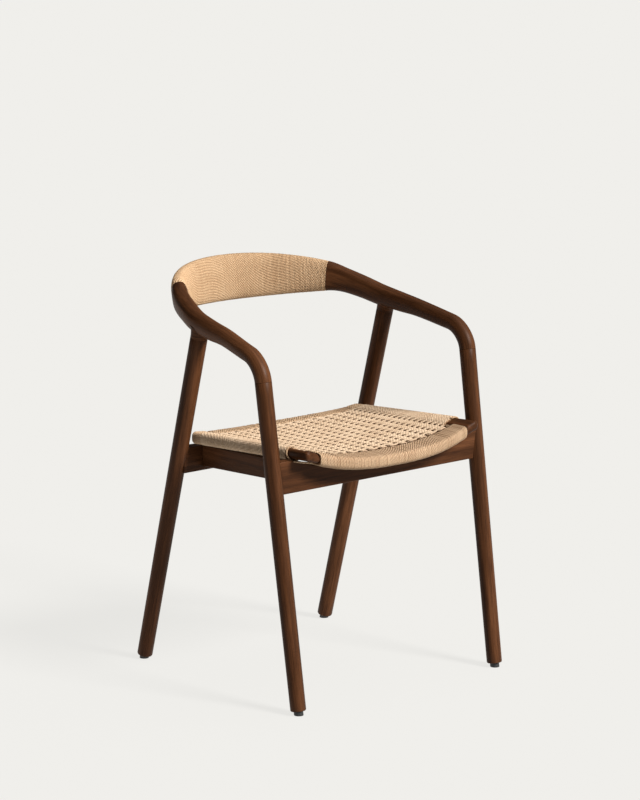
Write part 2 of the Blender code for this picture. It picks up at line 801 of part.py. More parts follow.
def make_apron(chair, legs, end, axis, y, thickness, bottom, places, top_of_x):
    """Upright board between two legs, its ends hollowed to fit them."""
    name = f"{end}_apron"
    half_length = axis(bottom).x - 0.003
    outline = [(-half_length, bottom), (half_length, bottom)]
    outline += [(x, top_of_x(x)) for x in places(half_length)]
    front = y - thickness / 2
    apron = chair.part(name, prism_mesh(
        name, [Vector((x, front, z)) for x, z in outline], Vector((0, thickness, 0)),
    ))
    add_bevel(apron, EDGE_ROUND)
    low, high = bottom - LEG_CUT_MARGIN, top_of_x(half_length) + LEG_CUT_MARGIN
    for side, word in SIDE_NAMES.items():
        cut_name = f"{name}_leg_cut_{word}"
        boolean(apron, chair.cutter(cut_name, cylinder_mesh(
            cut_name, mirrored(axis(low), side), mirrored(axis(high), side),
            leg_radius(end, low) + GAP, leg_radius(end, high) + GAP,
        )))
        for k, level in enumerate(("lower", "upper")):
            z = bottom + APRON_DOWEL_EDGE + k * APRON_DOWEL_PITCH
            middle = Vector((axis(z).x - leg_radius(end, z), axis(z).y, z))
            chair.pin(
                f"{name}_dowel_{level}_{word}", mirrored(middle, side),
                Vector((1, 0, 0)), DOWEL_RADIUS, DOWEL_LENGTH,
                (legs[end, side], apron),
            )
    return apron


def make_side_boards(chair, aprons):
    """Boards from apron to apron, just under the seat's side rails."""
    front = FRONT_APRON_INNER_Y + GAP
    rear = REAR_APRON_INNER_Y - GAP
    for side, word in SIDE_NAMES.items():
        name = f"side_board_{word}"
        x = BOARD_INNER_X if side == RIGHT else -BOARD_OUTER_X
        outline = [
            Vector((x, front, SIDE_BOARD_FRONT_BOTTOM)),
            Vector((x, rear, SIDE_BOARD_REAR_BOTTOM)),
            Vector((x, rear, board_top_z(rear))),
            Vector((x, front, board_top_z(front))),
        ]
        board = chair.part(name, prism_mesh(
            name, outline, Vector((SIDE_BOARD_THICKNESS, 0, 0)),
        ))
        add_bevel(board, EDGE_ROUND)
        for end, y, bottom in (
            ("front", front, SIDE_BOARD_FRONT_BOTTOM),
            ("rear", rear, SIDE_BOARD_REAR_BOTTOM),
        ):
            middle = Vector((
                (BOARD_INNER_X + BOARD_OUTER_X) / 2 * side, y,
                (board_top_z(y) + bottom) / 2,
            ))
            chair.pin(
                f"side_board_dowel_{end}_{word}", middle, Vector((0, 1, 0)),
                DOWEL_RADIUS, DOWEL_LENGTH * 0.9, (board, aprons[end]),
            )


def make_corner_blocks(chair):
    """Glue blocks in the inside corners; the rear two carry the seat."""
    blocks = {}
    x = BOARD_INNER_X - GAP
    rear_top = rail_axis_z(SEAT_REAR_Y) - RAIL_THICKNESS / 2 - CORD_THICKNESS
    rear_top -= seat_dip(x - CORNER_BLOCK_SIZE, SEAT_REAR_Y) + 2 * GAP
    for side, word in SIDE_NAMES.items():
        for end, wall_y, way, top in (
            ("front", FRONT_APRON_INNER_Y, 1, CORNER_BLOCK_BOTTOM + FRONT_BLOCK_HEIGHT),
            ("rear", REAR_APRON_INNER_Y, -1, rear_top),
        ):
            name = f"corner_block_{end}_{word}"
            y = wall_y + way * GAP
            corners = (
                (x, y),
                (x - CORNER_BLOCK_SIZE, y),
                (x - CORNER_BLOCK_SIZE, y + way * 0.006),
                (x - 0.006, y + way * CORNER_BLOCK_SIZE),
                (x, y + way * CORNER_BLOCK_SIZE),
            )
            outline = [Vector((cx * side, cy, CORNER_BLOCK_BOTTOM)) for cx, cy in corners]
            height = Vector((0, 0, top - CORNER_BLOCK_BOTTOM))
            mesh = prism_mesh(name, outline, height)
            blocks[end, side] = chair.part(name, mesh, chair.pale_wood)
    return blocks


# ============================================================ seat frame
def rounded_section(width, height, radius, corner_steps=3):
    """Rounded rectangle as (across, upward) pairs."""
    outline = []
    for cx, cy, start in (
        (1, 1, 0), (-1, 1, 90), (-1, -1, 180), (1, -1, 270),
    ):
        for k in range(corner_steps + 1):
            angle = math.radians(start + 90 * k / corner_steps)
            outline.append((
                cx * (width / 2 - radius) + radius * math.cos(angle),
                cy * (height / 2 - radius) + radius * math.sin(angle),
            ))
    return outline


def side_rail_ring(side, y, grow, tuck=0.0):
    """Section of a side rail; a tuck draws in its outer, top and bottom faces."""
    middle_x = seat_half_width(y) - SIDE_RAIL_WIDTH / 2
    outline = rounded_section(
        SIDE_RAIL_WIDTH + 2 * grow, RAIL_THICKNESS + 2 * grow, RAIL_ROUND + grow,
    )
    ring = []
    for u, v in outline:
        if u > 0:
            u -= tuck * CORNER_ROUND / RAIL_ROUND
        v *= 1 - tuck / (RAIL_THICKNESS / 2)
        x = middle_x + u
        ring.append(Vector((x * side, y, rail_axis_z(y) - seat_dip(x, y) + v)))
    return ring


def side_rail_rings(side, rear_y, front_y, grow, steps):
    return [
        side_rail_ring(side, lerp(rear_y, front_y, k / steps), grow)
        for k in range(steps + 1)
    ]


def end_rail_rings(end, half_length, grow, steps=14):
    """The front rail widens forward at its middle, the rear rail bends back."""
    rings = []
    for k in range(steps + 1):
        x = lerp(-half_length, half_length, k / steps)
        if end == "front":
            bow = rail_bow(x, SEAT_FRONT_Y)
            width = FRONT_RAIL_WIDTH + bow
            y = FRONT_RAIL_Y - bow / 2
            z = rail_axis_z(FRONT_RAIL_Y) - seat_dip(x, SEAT_FRONT_Y)
        else:
            width = REAR_RAIL_WIDTH
            y = REAR_RAIL_Y + rail_bow(x, SEAT_REAR_Y)
            z = rail_axis_z(REAR_RAIL_Y) - seat_dip(x, SEAT_REAR_Y)
        outline = rounded_section(
            width + 2 * grow, RAIL_THICKNESS + 2 * grow, RAIL_ROUND + grow,
        )
        rings.append([Vector((x, y + u, z + v)) for u, v in outline])
    return rings


def rail_end_x(y, width):
    """Half length of an end rail, between the side rails."""
    return seat_half_width(y + width / 2) - SIDE_RAIL_WIDTH - GAP


END_RAILS = {
    "front": (FRONT_RAIL_Y, rail_end_x(FRONT_RAIL_Y, FRONT_RAIL_WIDTH)),
    "rear": (REAR_RAIL_Y, rail_end_x(REAR_RAIL_Y, REAR_RAIL_WIDTH)),
}


def make_seat_frame(chair):
    rails = {}
    for side, word in SIDE_NAMES.items():
        name = f"seat_side_rail_{word}"
        rings = side_rail_rings(side, RAIL_REAR_Y, SEAT_FRONT_Y + RAIL_ROUND, 0.0, 8)
        for k in range(1, 5):
            angle = math.radians(22.5 * k * 0.97)
            y = SEAT_FRONT_Y + RAIL_ROUND * (1 - math.sin(angle))
            rings.append(side_rail_ring(side, y, 0.0, RAIL_ROUND * (1 - math.cos(angle))))
        rails[side] = chair.part(name, loft(name, rings))
    for end, (y, x) in END_RAILS.items():
        name = f"seat_{end}_rail"
        rails[end] = chair.part(name, loft(name, end_rail_rings(end, x, 0.0)))
        for side, word in SIDE_NAMES.items():
            middle = Vector((x * side, y, rail_axis_z(y) - seat_dip(x, y)))
            chair.pin(
                f"seat_frame_dowel_{end}_{word}", middle, Vector((1, 0, 0)),
                DOWEL_RADIUS, DOWEL_LENGTH, (rails[end], rails[side]),
            )
    return rails


def make_seat_cord(chair):
    """Plain solids for the cord: a sleeve on each rail and the woven panel."""
    wraps = {}
    front_edge = SEAT_FRONT_Y + FRONT_RAIL_WIDTH + CORD_THICKNESS + GAP
    rear_edge = RAIL_REAR_Y - REAR_RAIL_WIDTH - CORD_THICKNESS - GAP
    side_front = FRONT_APRON_INNER_Y + 2 * GAP
    for side, word in SIDE_NAMES.items():
        name = f"seat_side_cord_{word}"
        wraps[side] = chair.part(name, ring_loft(
            name,
            side_rail_rings(side, rear_edge, side_front, CORD_THICKNESS, 6),
            side_rail_rings(side, rear_edge, side_front, GAP, 6),
        ), chair.cord)
    for end, (y, x) in END_RAILS.items():
        name = f"seat_{end}_cord"
        wraps[end] = chair.part(name, ring_loft(
            name,
            end_rail_rings(end, x - GAP, CORD_THICKNESS),
            end_rail_rings(end, x - GAP, GAP),
        ), chair.cord)
    make_panel(chair, front_edge, rear_edge)
    return wraps


def make_panel(chair, front_y, rear_y):
    """Sagging slab between the rails, level with the top of their cord."""
    build = bmesh.new()
    bmesh.ops.create_grid(build, x_segments=18, y_segments=6, size=1.0)
    inner = seat_half_width(SEAT_FRONT_Y) - SIDE_RAIL_WIDTH
    for vert in build.verts:
        share, along = vert.co.x, (vert.co.y + 1) / 2
        behind = rear_y + rail_bow(share * inner, SEAT_REAR_Y) * 0.98
        y = lerp(front_y, behind, along)
        x = share * (seat_half_width(y) - SIDE_RAIL_WIDTH - CORD_THICKNESS - GAP)
        top = rail_axis_z(y) + RAIL_THICKNESS / 2 + CORD_THICKNESS * 0.5
        vert.co = (x, y, top - seat_dip(x, y))
    thicken(build, Vector((0, 0, -PANEL_THICKNESS)))
    chair.part("seat_panel", finish_mesh("seat_panel", build), chair.cord)


def make_seat_fixings(chair, front_apron, blocks, rails, wraps):
    """Dowels under the bare front corners and screws under the rear rail."""
    for side, word in SIDE_NAMES.items():
        x = seat_half_width(FRONT_APRON_Y) - SIDE_RAIL_WIDTH / 2
        joint_z = front_apron_top(x)
        chair.pin(
            f"seat_locating_dowel_{word}", Vector((x * side, FRONT_APRON_Y, joint_z)),
            Vector((0, 0, 1)), SEAT_DOWEL_RADIUS, SEAT_DOWEL_LENGTH,
            (front_apron, rails[side]),
        )
        x = BOARD_INNER_X - SCREW_INSET
        y = REAR_APRON_INNER_Y - SCREW_INSET * 1.3
        under = rail_axis_z(REAR_RAIL_Y) - seat_dip(x, SEAT_REAR_Y) - RAIL_THICKNESS / 2
        head_z = CORNER_BLOCK_BOTTOM + SCREW_RECESS
        length = under + SCREW_BITE - head_z
        low = Vector((x * side, y, head_z))
        name = f"seat_screw_{word}"
        profile = [
            (0.0, length),
            (SCREW_RADIUS * 0.4, length),
            (SCREW_RADIUS, length - 0.003),
            (SCREW_RADIUS, SCREW_HEAD_HEIGHT),
            (SCREW_HEAD_RADIUS, SCREW_HEAD_HEIGHT * 0.6),
            (SCREW_HEAD_RADIUS * 0.9, 0.0),
            (0.0, 0.0),
        ]
        turned(
            name, profile, low, Vector((0, 0, 1)), chair.parts, chair.steel, SMALL_STEPS,
        )
        shank_name = name + "_shank_hole"
        shank_cutter = chair.cutter(shank_name, cylinder_mesh(
            shank_name, low, low + Vector((0, 0, length + HOLE_END_GAP)),
            SCREW_RADIUS + GAP, steps=SMALL_STEPS,
        ))
        bore_name = name + "_counterbore"
        bore_cutter = chair.cutter(bore_name, cylinder_mesh(
            bore_name, low - Vector((0, 0, SCREW_RECESS + 0.005)),
            low + Vector((0, 0, SCREW_HEAD_HEIGHT + GAP)),
            SCREW_HEAD_RADIUS + GAP, steps=SMALL_STEPS,
        ))
        boolean(blocks["rear", side], bore_cutter)
        boolean(blocks["rear", side], shank_cutter)
        boolean(wraps["rear"], shank_cutter)
        boolean(rails["rear"], shank_cutter)


def main():
    clear_scene()
    chair = Chair()
    legs = make_legs(chair)
    arms = make_arms(chair)
    make_crest(chair, arms)
    aprons = {
        "front": make_apron(
            chair, legs, "front", front_leg_axis, FRONT_APRON_Y,
            FRONT_APRON_THICKNESS, FRONT_APRON_BOTTOM,
            front_apron_places, front_apron_top,
        ),
        "rear": make_apron(
            chair, legs, "rear", rear_leg_axis, REAR_APRON_Y,
            REAR_APRON_THICKNESS, REAR_APRON_BOTTOM,
            rear_apron_places, rear_apron_top,
        ),
    }
    make_side_boards(chair, aprons)
    blocks = make_corner_blocks(chair)
    rails = make_seat_frame(chair)
    wraps = make_seat_cord(chair)
    make_seat_fixings(chair, aprons["front"], blocks, rails, wraps)


main()
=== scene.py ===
import math

import bmesh
import bpy
import numpy as np
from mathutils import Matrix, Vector


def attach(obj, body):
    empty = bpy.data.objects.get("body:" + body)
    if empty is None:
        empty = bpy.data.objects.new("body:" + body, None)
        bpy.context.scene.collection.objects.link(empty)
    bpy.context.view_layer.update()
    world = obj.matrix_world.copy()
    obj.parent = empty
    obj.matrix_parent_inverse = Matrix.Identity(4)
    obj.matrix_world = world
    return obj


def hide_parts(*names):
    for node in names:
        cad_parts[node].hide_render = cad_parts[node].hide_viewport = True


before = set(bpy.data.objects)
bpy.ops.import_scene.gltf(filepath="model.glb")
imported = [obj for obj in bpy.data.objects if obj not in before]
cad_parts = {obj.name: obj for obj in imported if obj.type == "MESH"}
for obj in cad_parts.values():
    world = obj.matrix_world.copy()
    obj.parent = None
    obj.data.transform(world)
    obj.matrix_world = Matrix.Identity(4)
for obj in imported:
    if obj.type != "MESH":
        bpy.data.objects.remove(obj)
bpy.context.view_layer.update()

# Lengths are in metres and angles in radians. +Z is up and the chair faces -Y.
# ------------------------------------------------------------ the frame's sizes
WIDTH = 0.5236
DEPTH = 0.5359
HEIGHT = 0.7432
GAP = 0.0003
FRONT_FOOT_R = 0.0143
FRONT_TOP_R = 0.0154
FRONT_SPLAY = 0.1507
FRONT_TOE_IN = 0.0100
REAR_FOOT_R = 0.0145
REAR_TOP_R = 0.0160
REAR_SPLAY = 0.2751
REAR_FOOT_INSET = 0.0228
REAR_FOOT_SETBACK = 0.0490
FOOT_CHAMFER = 0.0022
GLIDE_HEIGHT = 0.0075
ARM_R = 0.0154
BEND_HEIGHT = 0.6306
BEND_TANGENT = 0.0380
ARM_FRONT_SLOPE = 0.2000
ARM_FRONT_TOE_IN = 0.0585
COLLAR_DEPTH = 0.0265
COLLAR_FLARE = 0.0100
CREST_H = 0.0878
CREST_END_H = 0.0570
CREST_T = 0.0250
CREST_END_T = 0.0310
CREST_SWEEP = math.radians(57.0)
CREST_END_INSET = 0.0674
CREST_END_DROP = 0.0035
CREST_LEAN = math.radians(10.0)
CREST_POWER = 2.6
CREST_TAPER = 2.1
REAR_LEG_OUTSET = 0.0008
CORD = 0.0028
SEAT_REAR_Z = 0.4550
SEAT_RISE = 0.0212
SEAT_REAR_W = 0.4070
SEAT_FRONT_W = 0.4160
SEAT_BACK = 0.0943
SEAT_FRONT = -0.2401
FRONT_DIP = 0.0300
REAR_DIP = 0.0085
DIP_EDGE = 0.0080
DIP_POWER = 2.6
FRONT_BOW = 0.0130
REAR_BOW = 0.0120
SIDE_RAIL_W = 0.0300
FRONT_RAIL_W = 0.0380
REAR_RAIL_W = 0.0290
RAIL_T = 0.0180
RAIL_ROUND = 0.0060

# Each station: share of the way back, inward and up from the arm's front end to the
# crest, half width, half height, share of the crest's lean, share of its squareness.
ARM_STATIONS = (
    (0.268, 0.157, 0.275, 0.0160, 0.0163, 0.0, 0.1),
    (0.434, 0.226, 0.385, 0.0168, 0.0183, 0.1, 0.2),
    (0.618, 0.340, 0.530, 0.0174, 0.0200, 0.3, 0.3),
    (0.757, 0.500, 0.715, 0.0172, 0.0210, 0.5, 0.5),
    (0.896, 0.726, 0.892, 0.0165, 0.0232, 0.8, 0.8),
)

ARM_LEAD_IN = 0.0600          # guide point in front of the arm's first station
CREST_LEAD_OUT = 0.8          # guide point past the last one, as a share of the sweep
ROUND_HANDLE = 0.552          # Bezier handle that makes a quarter turn round
BEND_STEPS = 16
SPAN_STEPS = 10

# ------------------------------------------------------------ sizes of the looks
SHARP_ANGLE = math.radians(40)
WRAP_PITCH = 0.0026           # crest cord, strand to strand
RAIL_PITCH = 0.0031           # cord round the seat's front and rear rails
WEFT_PITCH = 0.0035           # cord across the seat
STRAND_STEPS = 6              # rings in one wound strand
STRAND_CROWN = 0.7            # power that flattens a wound strand's round top
WRAP_GROOVE = 0.0009          # depth between two strands on the crest
RAIL_GROOVE = 0.0011          # and on the seat's rails
WARP_SPACING = 0.0240
WARP_EACH_SIDE = 7            # warp pairs on each side of the middle one
WARP_STRAND = 0.0034
WEFT_DIVE = 0.0026            # weft strands pass this far under the warp
WEFT_CROWN = 0.0003           # and rise this far over it
WEFT_REACH = 0.0056           # half length of a weft strand's dive
WEFT_PINCH = 0.0008           # a warp pair pulls two weft strands this much together
PINCH_REACH = 0.0050
WARP_DIVE = 0.0028            # warp strands pass this far under the weft
WARP_CROWN = 0.0006           # and stand this far above it where they show
UNDER_LAYER = 0.0046          # second layer of weft under the first
WEAVE_SINK = 0.0014           # middle of the weave under that of a cord on the rails
WEAVE_MARGIN = 0.0010         # front rail's cord to the first weft strand
REAR_TUCK = 0.0060            # the weave ends this far over the rear rail
WEFT_UNDER_SIDE = 0.0020      # level part of a weft strand, over a side rail
UNDER_REACH = 0.0040          # and of one in the second layer
WEFT_FATNESS = 1.03           # neighbouring weft strands cut into each other by this
UNDER_FATNESS = 1.04
WARP_FRONT_TAIL = 0.0160      # warp strands go on this far under the front rail's cord
WARP_REAR_TAIL = 0.0100
WARP_TAIL_RISE = 0.0016       # outside the weave they rise to the rail's cord
WARP_TAIL_DROP = 0.0030       # and then go down into it
SIDE_SINK = 0.0006            # a weft strand beside a rail, in from its cord's face
SIDE_LIFT = 0.0030            # and below the rail, up from its cord's face
SIDE_TIGHTER = 0.0010         # its turn's radius is this much under the cord's
SIDE_TAIL = 0.0060            # how far it goes back under the rail
LOOP_RADIUS = 0.0017
LUG_BACK = -0.1815            # rear end of the bare front corners


def lerp(a, b, t):
    return a + (b - a) * t


def spline(p0, p1, p2, p3, t):
    """Point at t on the Catmull-Rom curve from p1 to p2."""
    return 0.5 * (
        2 * p1 + (p2 - p0) * t + (2 * p0 - 5 * p1 + 4 * p2 - p3) * t ** 2
        + (3 * p1 - p0 - 3 * p2 + p3) * t ** 3
    )


# ============================================================ the frame's shape
ARM_HALF = WIDTH / 2 - ARM_R
BACK_Y = DEPTH / 2
SPLAY_ANGLE = math.atan(FRONT_SPLAY)
FRONT_FOOT_Y = (
    -BACK_Y + FRONT_FOOT_R * math.cos(SPLAY_ANGLE)
    - GLIDE_HEIGHT * FRONT_SPLAY - FOOT_CHAMFER * math.sin(SPLAY_ANGLE)
)


def superellipse(a, b, power, steps):
    """Closed outline with half sizes a and b. Power 2 makes an ellipse."""
    t = 2 * np.pi * np.arange(steps) / steps
    c, s = np.cos(t), np.sin(t)
    return np.stack([
        a * np.sign(c) * np.abs(c) ** (2 / power),
        b * np.sign(s) * np.abs(s) ** (2 / power),
    ], axis=1)


def leaned(outline, lean):
    """The outline turned clockwise by the angle lean."""
    c, s = math.cos(lean), math.sin(lean)
    u, v = outline[:, 0], outline[:, 1]
    return np.stack([u * c + v * s, v * c - u * s], axis=1)


WIDEST = leaned(superellipse(CREST_T / 2, CREST_H / 2, CREST_POWER, 360), CREST_LEAN)
CREST_Y = BACK_Y - WIDEST[:, 0].max()
CREST_Z = HEIGHT - WIDEST[:, 1].max()
CREST_R = (ARM_HALF - CREST_END_INSET) / math.sin(CREST_SWEEP)


def front_axis(z):
    x = ARM_HALF - FRONT_TOE_IN * (BEND_HEIGHT - z)
    return Vector((x, FRONT_FOOT_Y + FRONT_SPLAY * z, z))


FRONT_UP = (front_axis(1.0) - front_axis(0.0)).normalized()
BEND = front_axis(BEND_HEIGHT)
FRONT_JOINT = BEND - FRONT_UP * BEND_TANGENT
ARM_WAY = Vector((-ARM_FRONT_TOE_IN, 1.0, ARM_FRONT_SLOPE)).normalized()
ARM_START = BEND + ARM_WAY * BEND_TANGENT


def crest_axis(a):
    return Vector((
        CREST_R * math.sin(a),
        CREST_Y - CREST_R * (1 - math.cos(a)),
        CREST_Z - CREST_END_DROP * (a / CREST_SWEEP) ** 2,
    ))


def crest_tangent(a):
    return (crest_axis(a - 0.01) - crest_axis(a + 0.01)).normalized()


def crest_size(a):
    t = abs(a) / CREST_SWEEP
    return (
        lerp(CREST_T, CREST_END_T, t ** 2) / 2,
        lerp(CREST_H, CREST_END_H, t ** CREST_TAPER) / 2,
    )


def crest_row(a):
    """Centre, half sizes, lean and power of the crest's section at the angle a."""
    return [*crest_axis(a), *crest_size(a), CREST_LEAN, CREST_POWER]


def bend_point(t):
    a = FRONT_JOINT
    b = FRONT_JOINT.lerp(BEND, ROUND_HANDLE)
    c = ARM_START.lerp(BEND, ROUND_HANDLE)
    d = ARM_START
    return (
        a * (1 - t) ** 3 + b * 3 * t * (1 - t) ** 2
        + c * 3 * t ** 2 * (1 - t) + d * t ** 3
    )


def arm_rows():
    """Sections of the arm, as crest_row gives them, from the leg joint to the crest."""
    end = crest_row(CREST_SWEEP)
    rows = [[*ARM_START, ARM_R, ARM_R, 0.0, 2.0]]
    for along, inward, upward, wide, high, lean, square in ARM_STATIONS:
        rows.append([
            lerp(ARM_START.x, end[0], inward), lerp(ARM_START.y, end[1], along),
            lerp(ARM_START.z, end[2], upward), wide, high, CREST_LEAN * lean,
            lerp(2.0, CREST_POWER, square),
        ])
    rows.append(end)
    before = [*(ARM_START - ARM_WAY * ARM_LEAD_IN), ARM_R, ARM_R, 0.0, 2.0]
    after = crest_row(CREST_SWEEP * CREST_LEAD_OUT)
    chain = [np.array(row, float) for row in (before, *rows, after)]
    out = []
    for k in range(BEND_STEPS):
        t = k / BEND_STEPS
        r = lerp(FRONT_TOP_R, ARM_R, t)
        out.append(np.array([*bend_point(t), r, r, 0.0, 2.0]))
    for guides in zip(chain, chain[1:], chain[2:], chain[3:]):
        out += [spline(*guides, k / SPAN_STEPS) for k in range(SPAN_STEPS)]
    out.append(np.array(end, float))
    return out


ARM_ROWS = arm_rows()
REAR_FOOT = Vector((ARM_HALF - REAR_FOOT_INSET, BACK_Y - REAR_FOOT_SETBACK, 0.0))


def rear_head():
    """Where the rear leg's axis meets the arm's."""
    def miss(row):
        return row[1] - (REAR_FOOT.y - REAR_SPLAY * row[2])

    for low, high in zip(ARM_ROWS, ARM_ROWS[1:]):
        if miss(low) <= 0 < miss(high):
            t = miss(low) / (miss(low) - miss(high))
            return Vector(lerp(low[:3], high[:3], t)) + Vector((REAR_LEG_OUTSET, 0, 0))


REAR_UP = (rear_head() - REAR_FOOT).normalized()
REAR_JOINT = rear_head() - REAR_UP * COLLAR_DEPTH
SEAT_DEPTH = SEAT_BACK - SEAT_FRONT
RAIL_BACK = SEAT_BACK - CORD


def half_width(y):
    """Half the width over the seat's side rails."""
    t = (SEAT_BACK - y) / SEAT_DEPTH
    return lerp(SEAT_REAR_W / 2 - CORD, SEAT_FRONT_W / 2, t)


def rail_z(y):
    """Height of the middle of a side rail."""
    rear = SEAT_REAR_Z - CORD - RAIL_T / 2
    return rear + SEAT_RISE / SEAT_DEPTH * (SEAT_BACK - y)


def dip(x, y):
    """How far the seat sags below its side rails."""
    t = min((SEAT_BACK - y) / SEAT_DEPTH, 1.0)
    share = min(abs(x) / (SEAT_FRONT_W / 2 - DIP_EDGE), 1.0)
    return lerp(REAR_DIP, FRONT_DIP, t) * (1 - share ** DIP_POWER)


def bow(x, front):
    """How far the front or rear rail bows outwards."""
    inner = half_width(SEAT_FRONT if front else SEAT_BACK) - SIDE_RAIL_W
    share = min(abs(x) / inner, 1.0)
    return (FRONT_BOW if front else REAR_BOW) * (1 - share ** 2)


# ============================================================ materials
class Nodes:
    """Short ways to add shader nodes to one material."""

    def __init__(self, name):
        self.material = bpy.data.materials.new(name)
        self.material.use_nodes = True
        self.tree = self.material.node_tree
        self.shader = self.tree.nodes["Principled BSDF"]

    def add(self, kind, **settings):
        node = self.tree.nodes.new(kind)
        for key, value in settings.items():
            setattr(node, key, value)
        return node

    def link(self, out, into):
        self.tree.links.new(out, into)

    def attribute(self, name):
        return self.add("ShaderNodeAttribute", attribute_name=name)

    def scaled(self, vector, scale, rotation=(0, 0, 0), location=(0, 0, 0)):
        mapping = self.add("ShaderNodeMapping")
        mapping.inputs["Scale"].default_value = scale
        mapping.inputs["Rotation"].default_value = rotation
        mapping.inputs["Location"].default_value = location
        self.link(vector, mapping.inputs["Vector"])
        return mapping.outputs["Vector"]

    def noise(self, vector, scale, detail=3.0, roughness=0.5):
        node = self.add("ShaderNodeTexNoise")
        node.inputs["Scale"].default_value = scale
        node.inputs["Detail"].default_value = detail
        node.inputs["Roughness"].default_value = roughness
        self.link(vector, node.inputs["Vector"])
        return node.outputs["Fac"]

    def ramp(self, factor, stops):
        node = self.add("ShaderNodeValToRGB")
        ramp = node.color_ramp
        ramp.elements[0].position = stops[0][0]
        ramp.elements[0].color = (*stops[0][1], 1.0)
        ramp.elements[1].position = stops[-1][0]
        ramp.elements[1].color = (*stops[-1][1], 1.0)
        for place, colour in stops[1:-1]:
            ramp.elements.new(place).color = (*colour, 1.0)
        self.link(factor, node.inputs["Fac"])
        return node.outputs["Color"]

    def mix(self, kind, factor, a, b):
        node = self.add("ShaderNodeMix", data_type="RGBA", blend_type=kind)
        for socket, value in ((0, factor), (6, a), (7, b)):
            if isinstance(value, (int, float)):
                node.inputs[socket].default_value = value
            elif isinstance(value, tuple):
                node.inputs[socket].default_value = (*value, 1.0)
            else:
                self.link(value, node.inputs[socket])
        return node.outputs[2]

    def maths(self, operation, a, b=0.0, c=0.0):
        node = self.add("ShaderNodeMath", operation=operation)
        for socket, value in enumerate((a, b, c)):
            if isinstance(value, (int, float)):
                node.inputs[socket].default_value = value
            else:
                self.link(value, node.inputs[socket])
        return node.outputs[0]

    def bump(self, height, strength, distance, normal=None):
        node = self.add("ShaderNodeBump")
        node.inputs["Strength"].default_value = strength
        node.inputs["Distance"].default_value = distance
        self.link(height, node.inputs["Height"])
        if normal is not None:
            self.link(normal, node.inputs["Normal"])
        self.link(node.outputs["Normal"], self.shader.inputs["Normal"])
        return node.outputs["Normal"]


DARK = (0.021, 0.0076, 0.0028)
MID = (0.060, 0.0222, 0.0082)
LIGHT = (0.130, 0.0510, 0.0208)


def wood(name, turn=None, seed=0.0):
    """Stained walnut. The grain runs along local Z of the turned coordinates."""
    n = Nodes(name)
    if turn is None:
        place = n.attribute("grain").outputs["Vector"]
    else:
        place = n.add("ShaderNodeTexCoord").outputs["Object"]
        place = n.scaled(place, (1, 1, 1), rotation=turn)
    shifted = n.scaled(place, (1, 1, 1), location=(seed, seed * 1.7, seed * 0.6))
    broad = n.noise(n.scaled(shifted, (34, 34, 2.2)), 1.0, 3.0, 0.55)
    rings = n.noise(n.scaled(shifted, (150, 150, 5.0)), 1.0, 3.0, 0.6)
    pores = n.noise(n.scaled(shifted, (900, 900, 26)), 1.0, 2.0, 0.6)
    tone = n.maths("ADD", n.maths("MULTIPLY", broad, 0.62), n.maths("MULTIPLY", rings, 0.38))
    colour = n.ramp(tone, ((0.30, DARK), (0.50, MID), (0.70, LIGHT)))
    streak = n.ramp(pores, ((0.34, (0.45, 0.42, 0.40)), (0.52, (1.0, 1.0, 1.0))))
    colour = n.mix("MULTIPLY", 0.75, colour, streak)
    n.link(colour, n.shader.inputs["Base Color"])
    rough = n.maths("MULTIPLY_ADD", rings, 0.14, 0.36)
    n.link(rough, n.shader.inputs["Roughness"])
    n.shader.inputs["Specular IOR Level"].default_value = 0.08
    n.bump(pores, 0.12, 0.0004)
    return n.material


CORD_DARK = (0.30, 0.195, 0.115)
CORD_MID = (0.48, 0.345, 0.228)
CORD_LIGHT = (0.62, 0.480, 0.340)


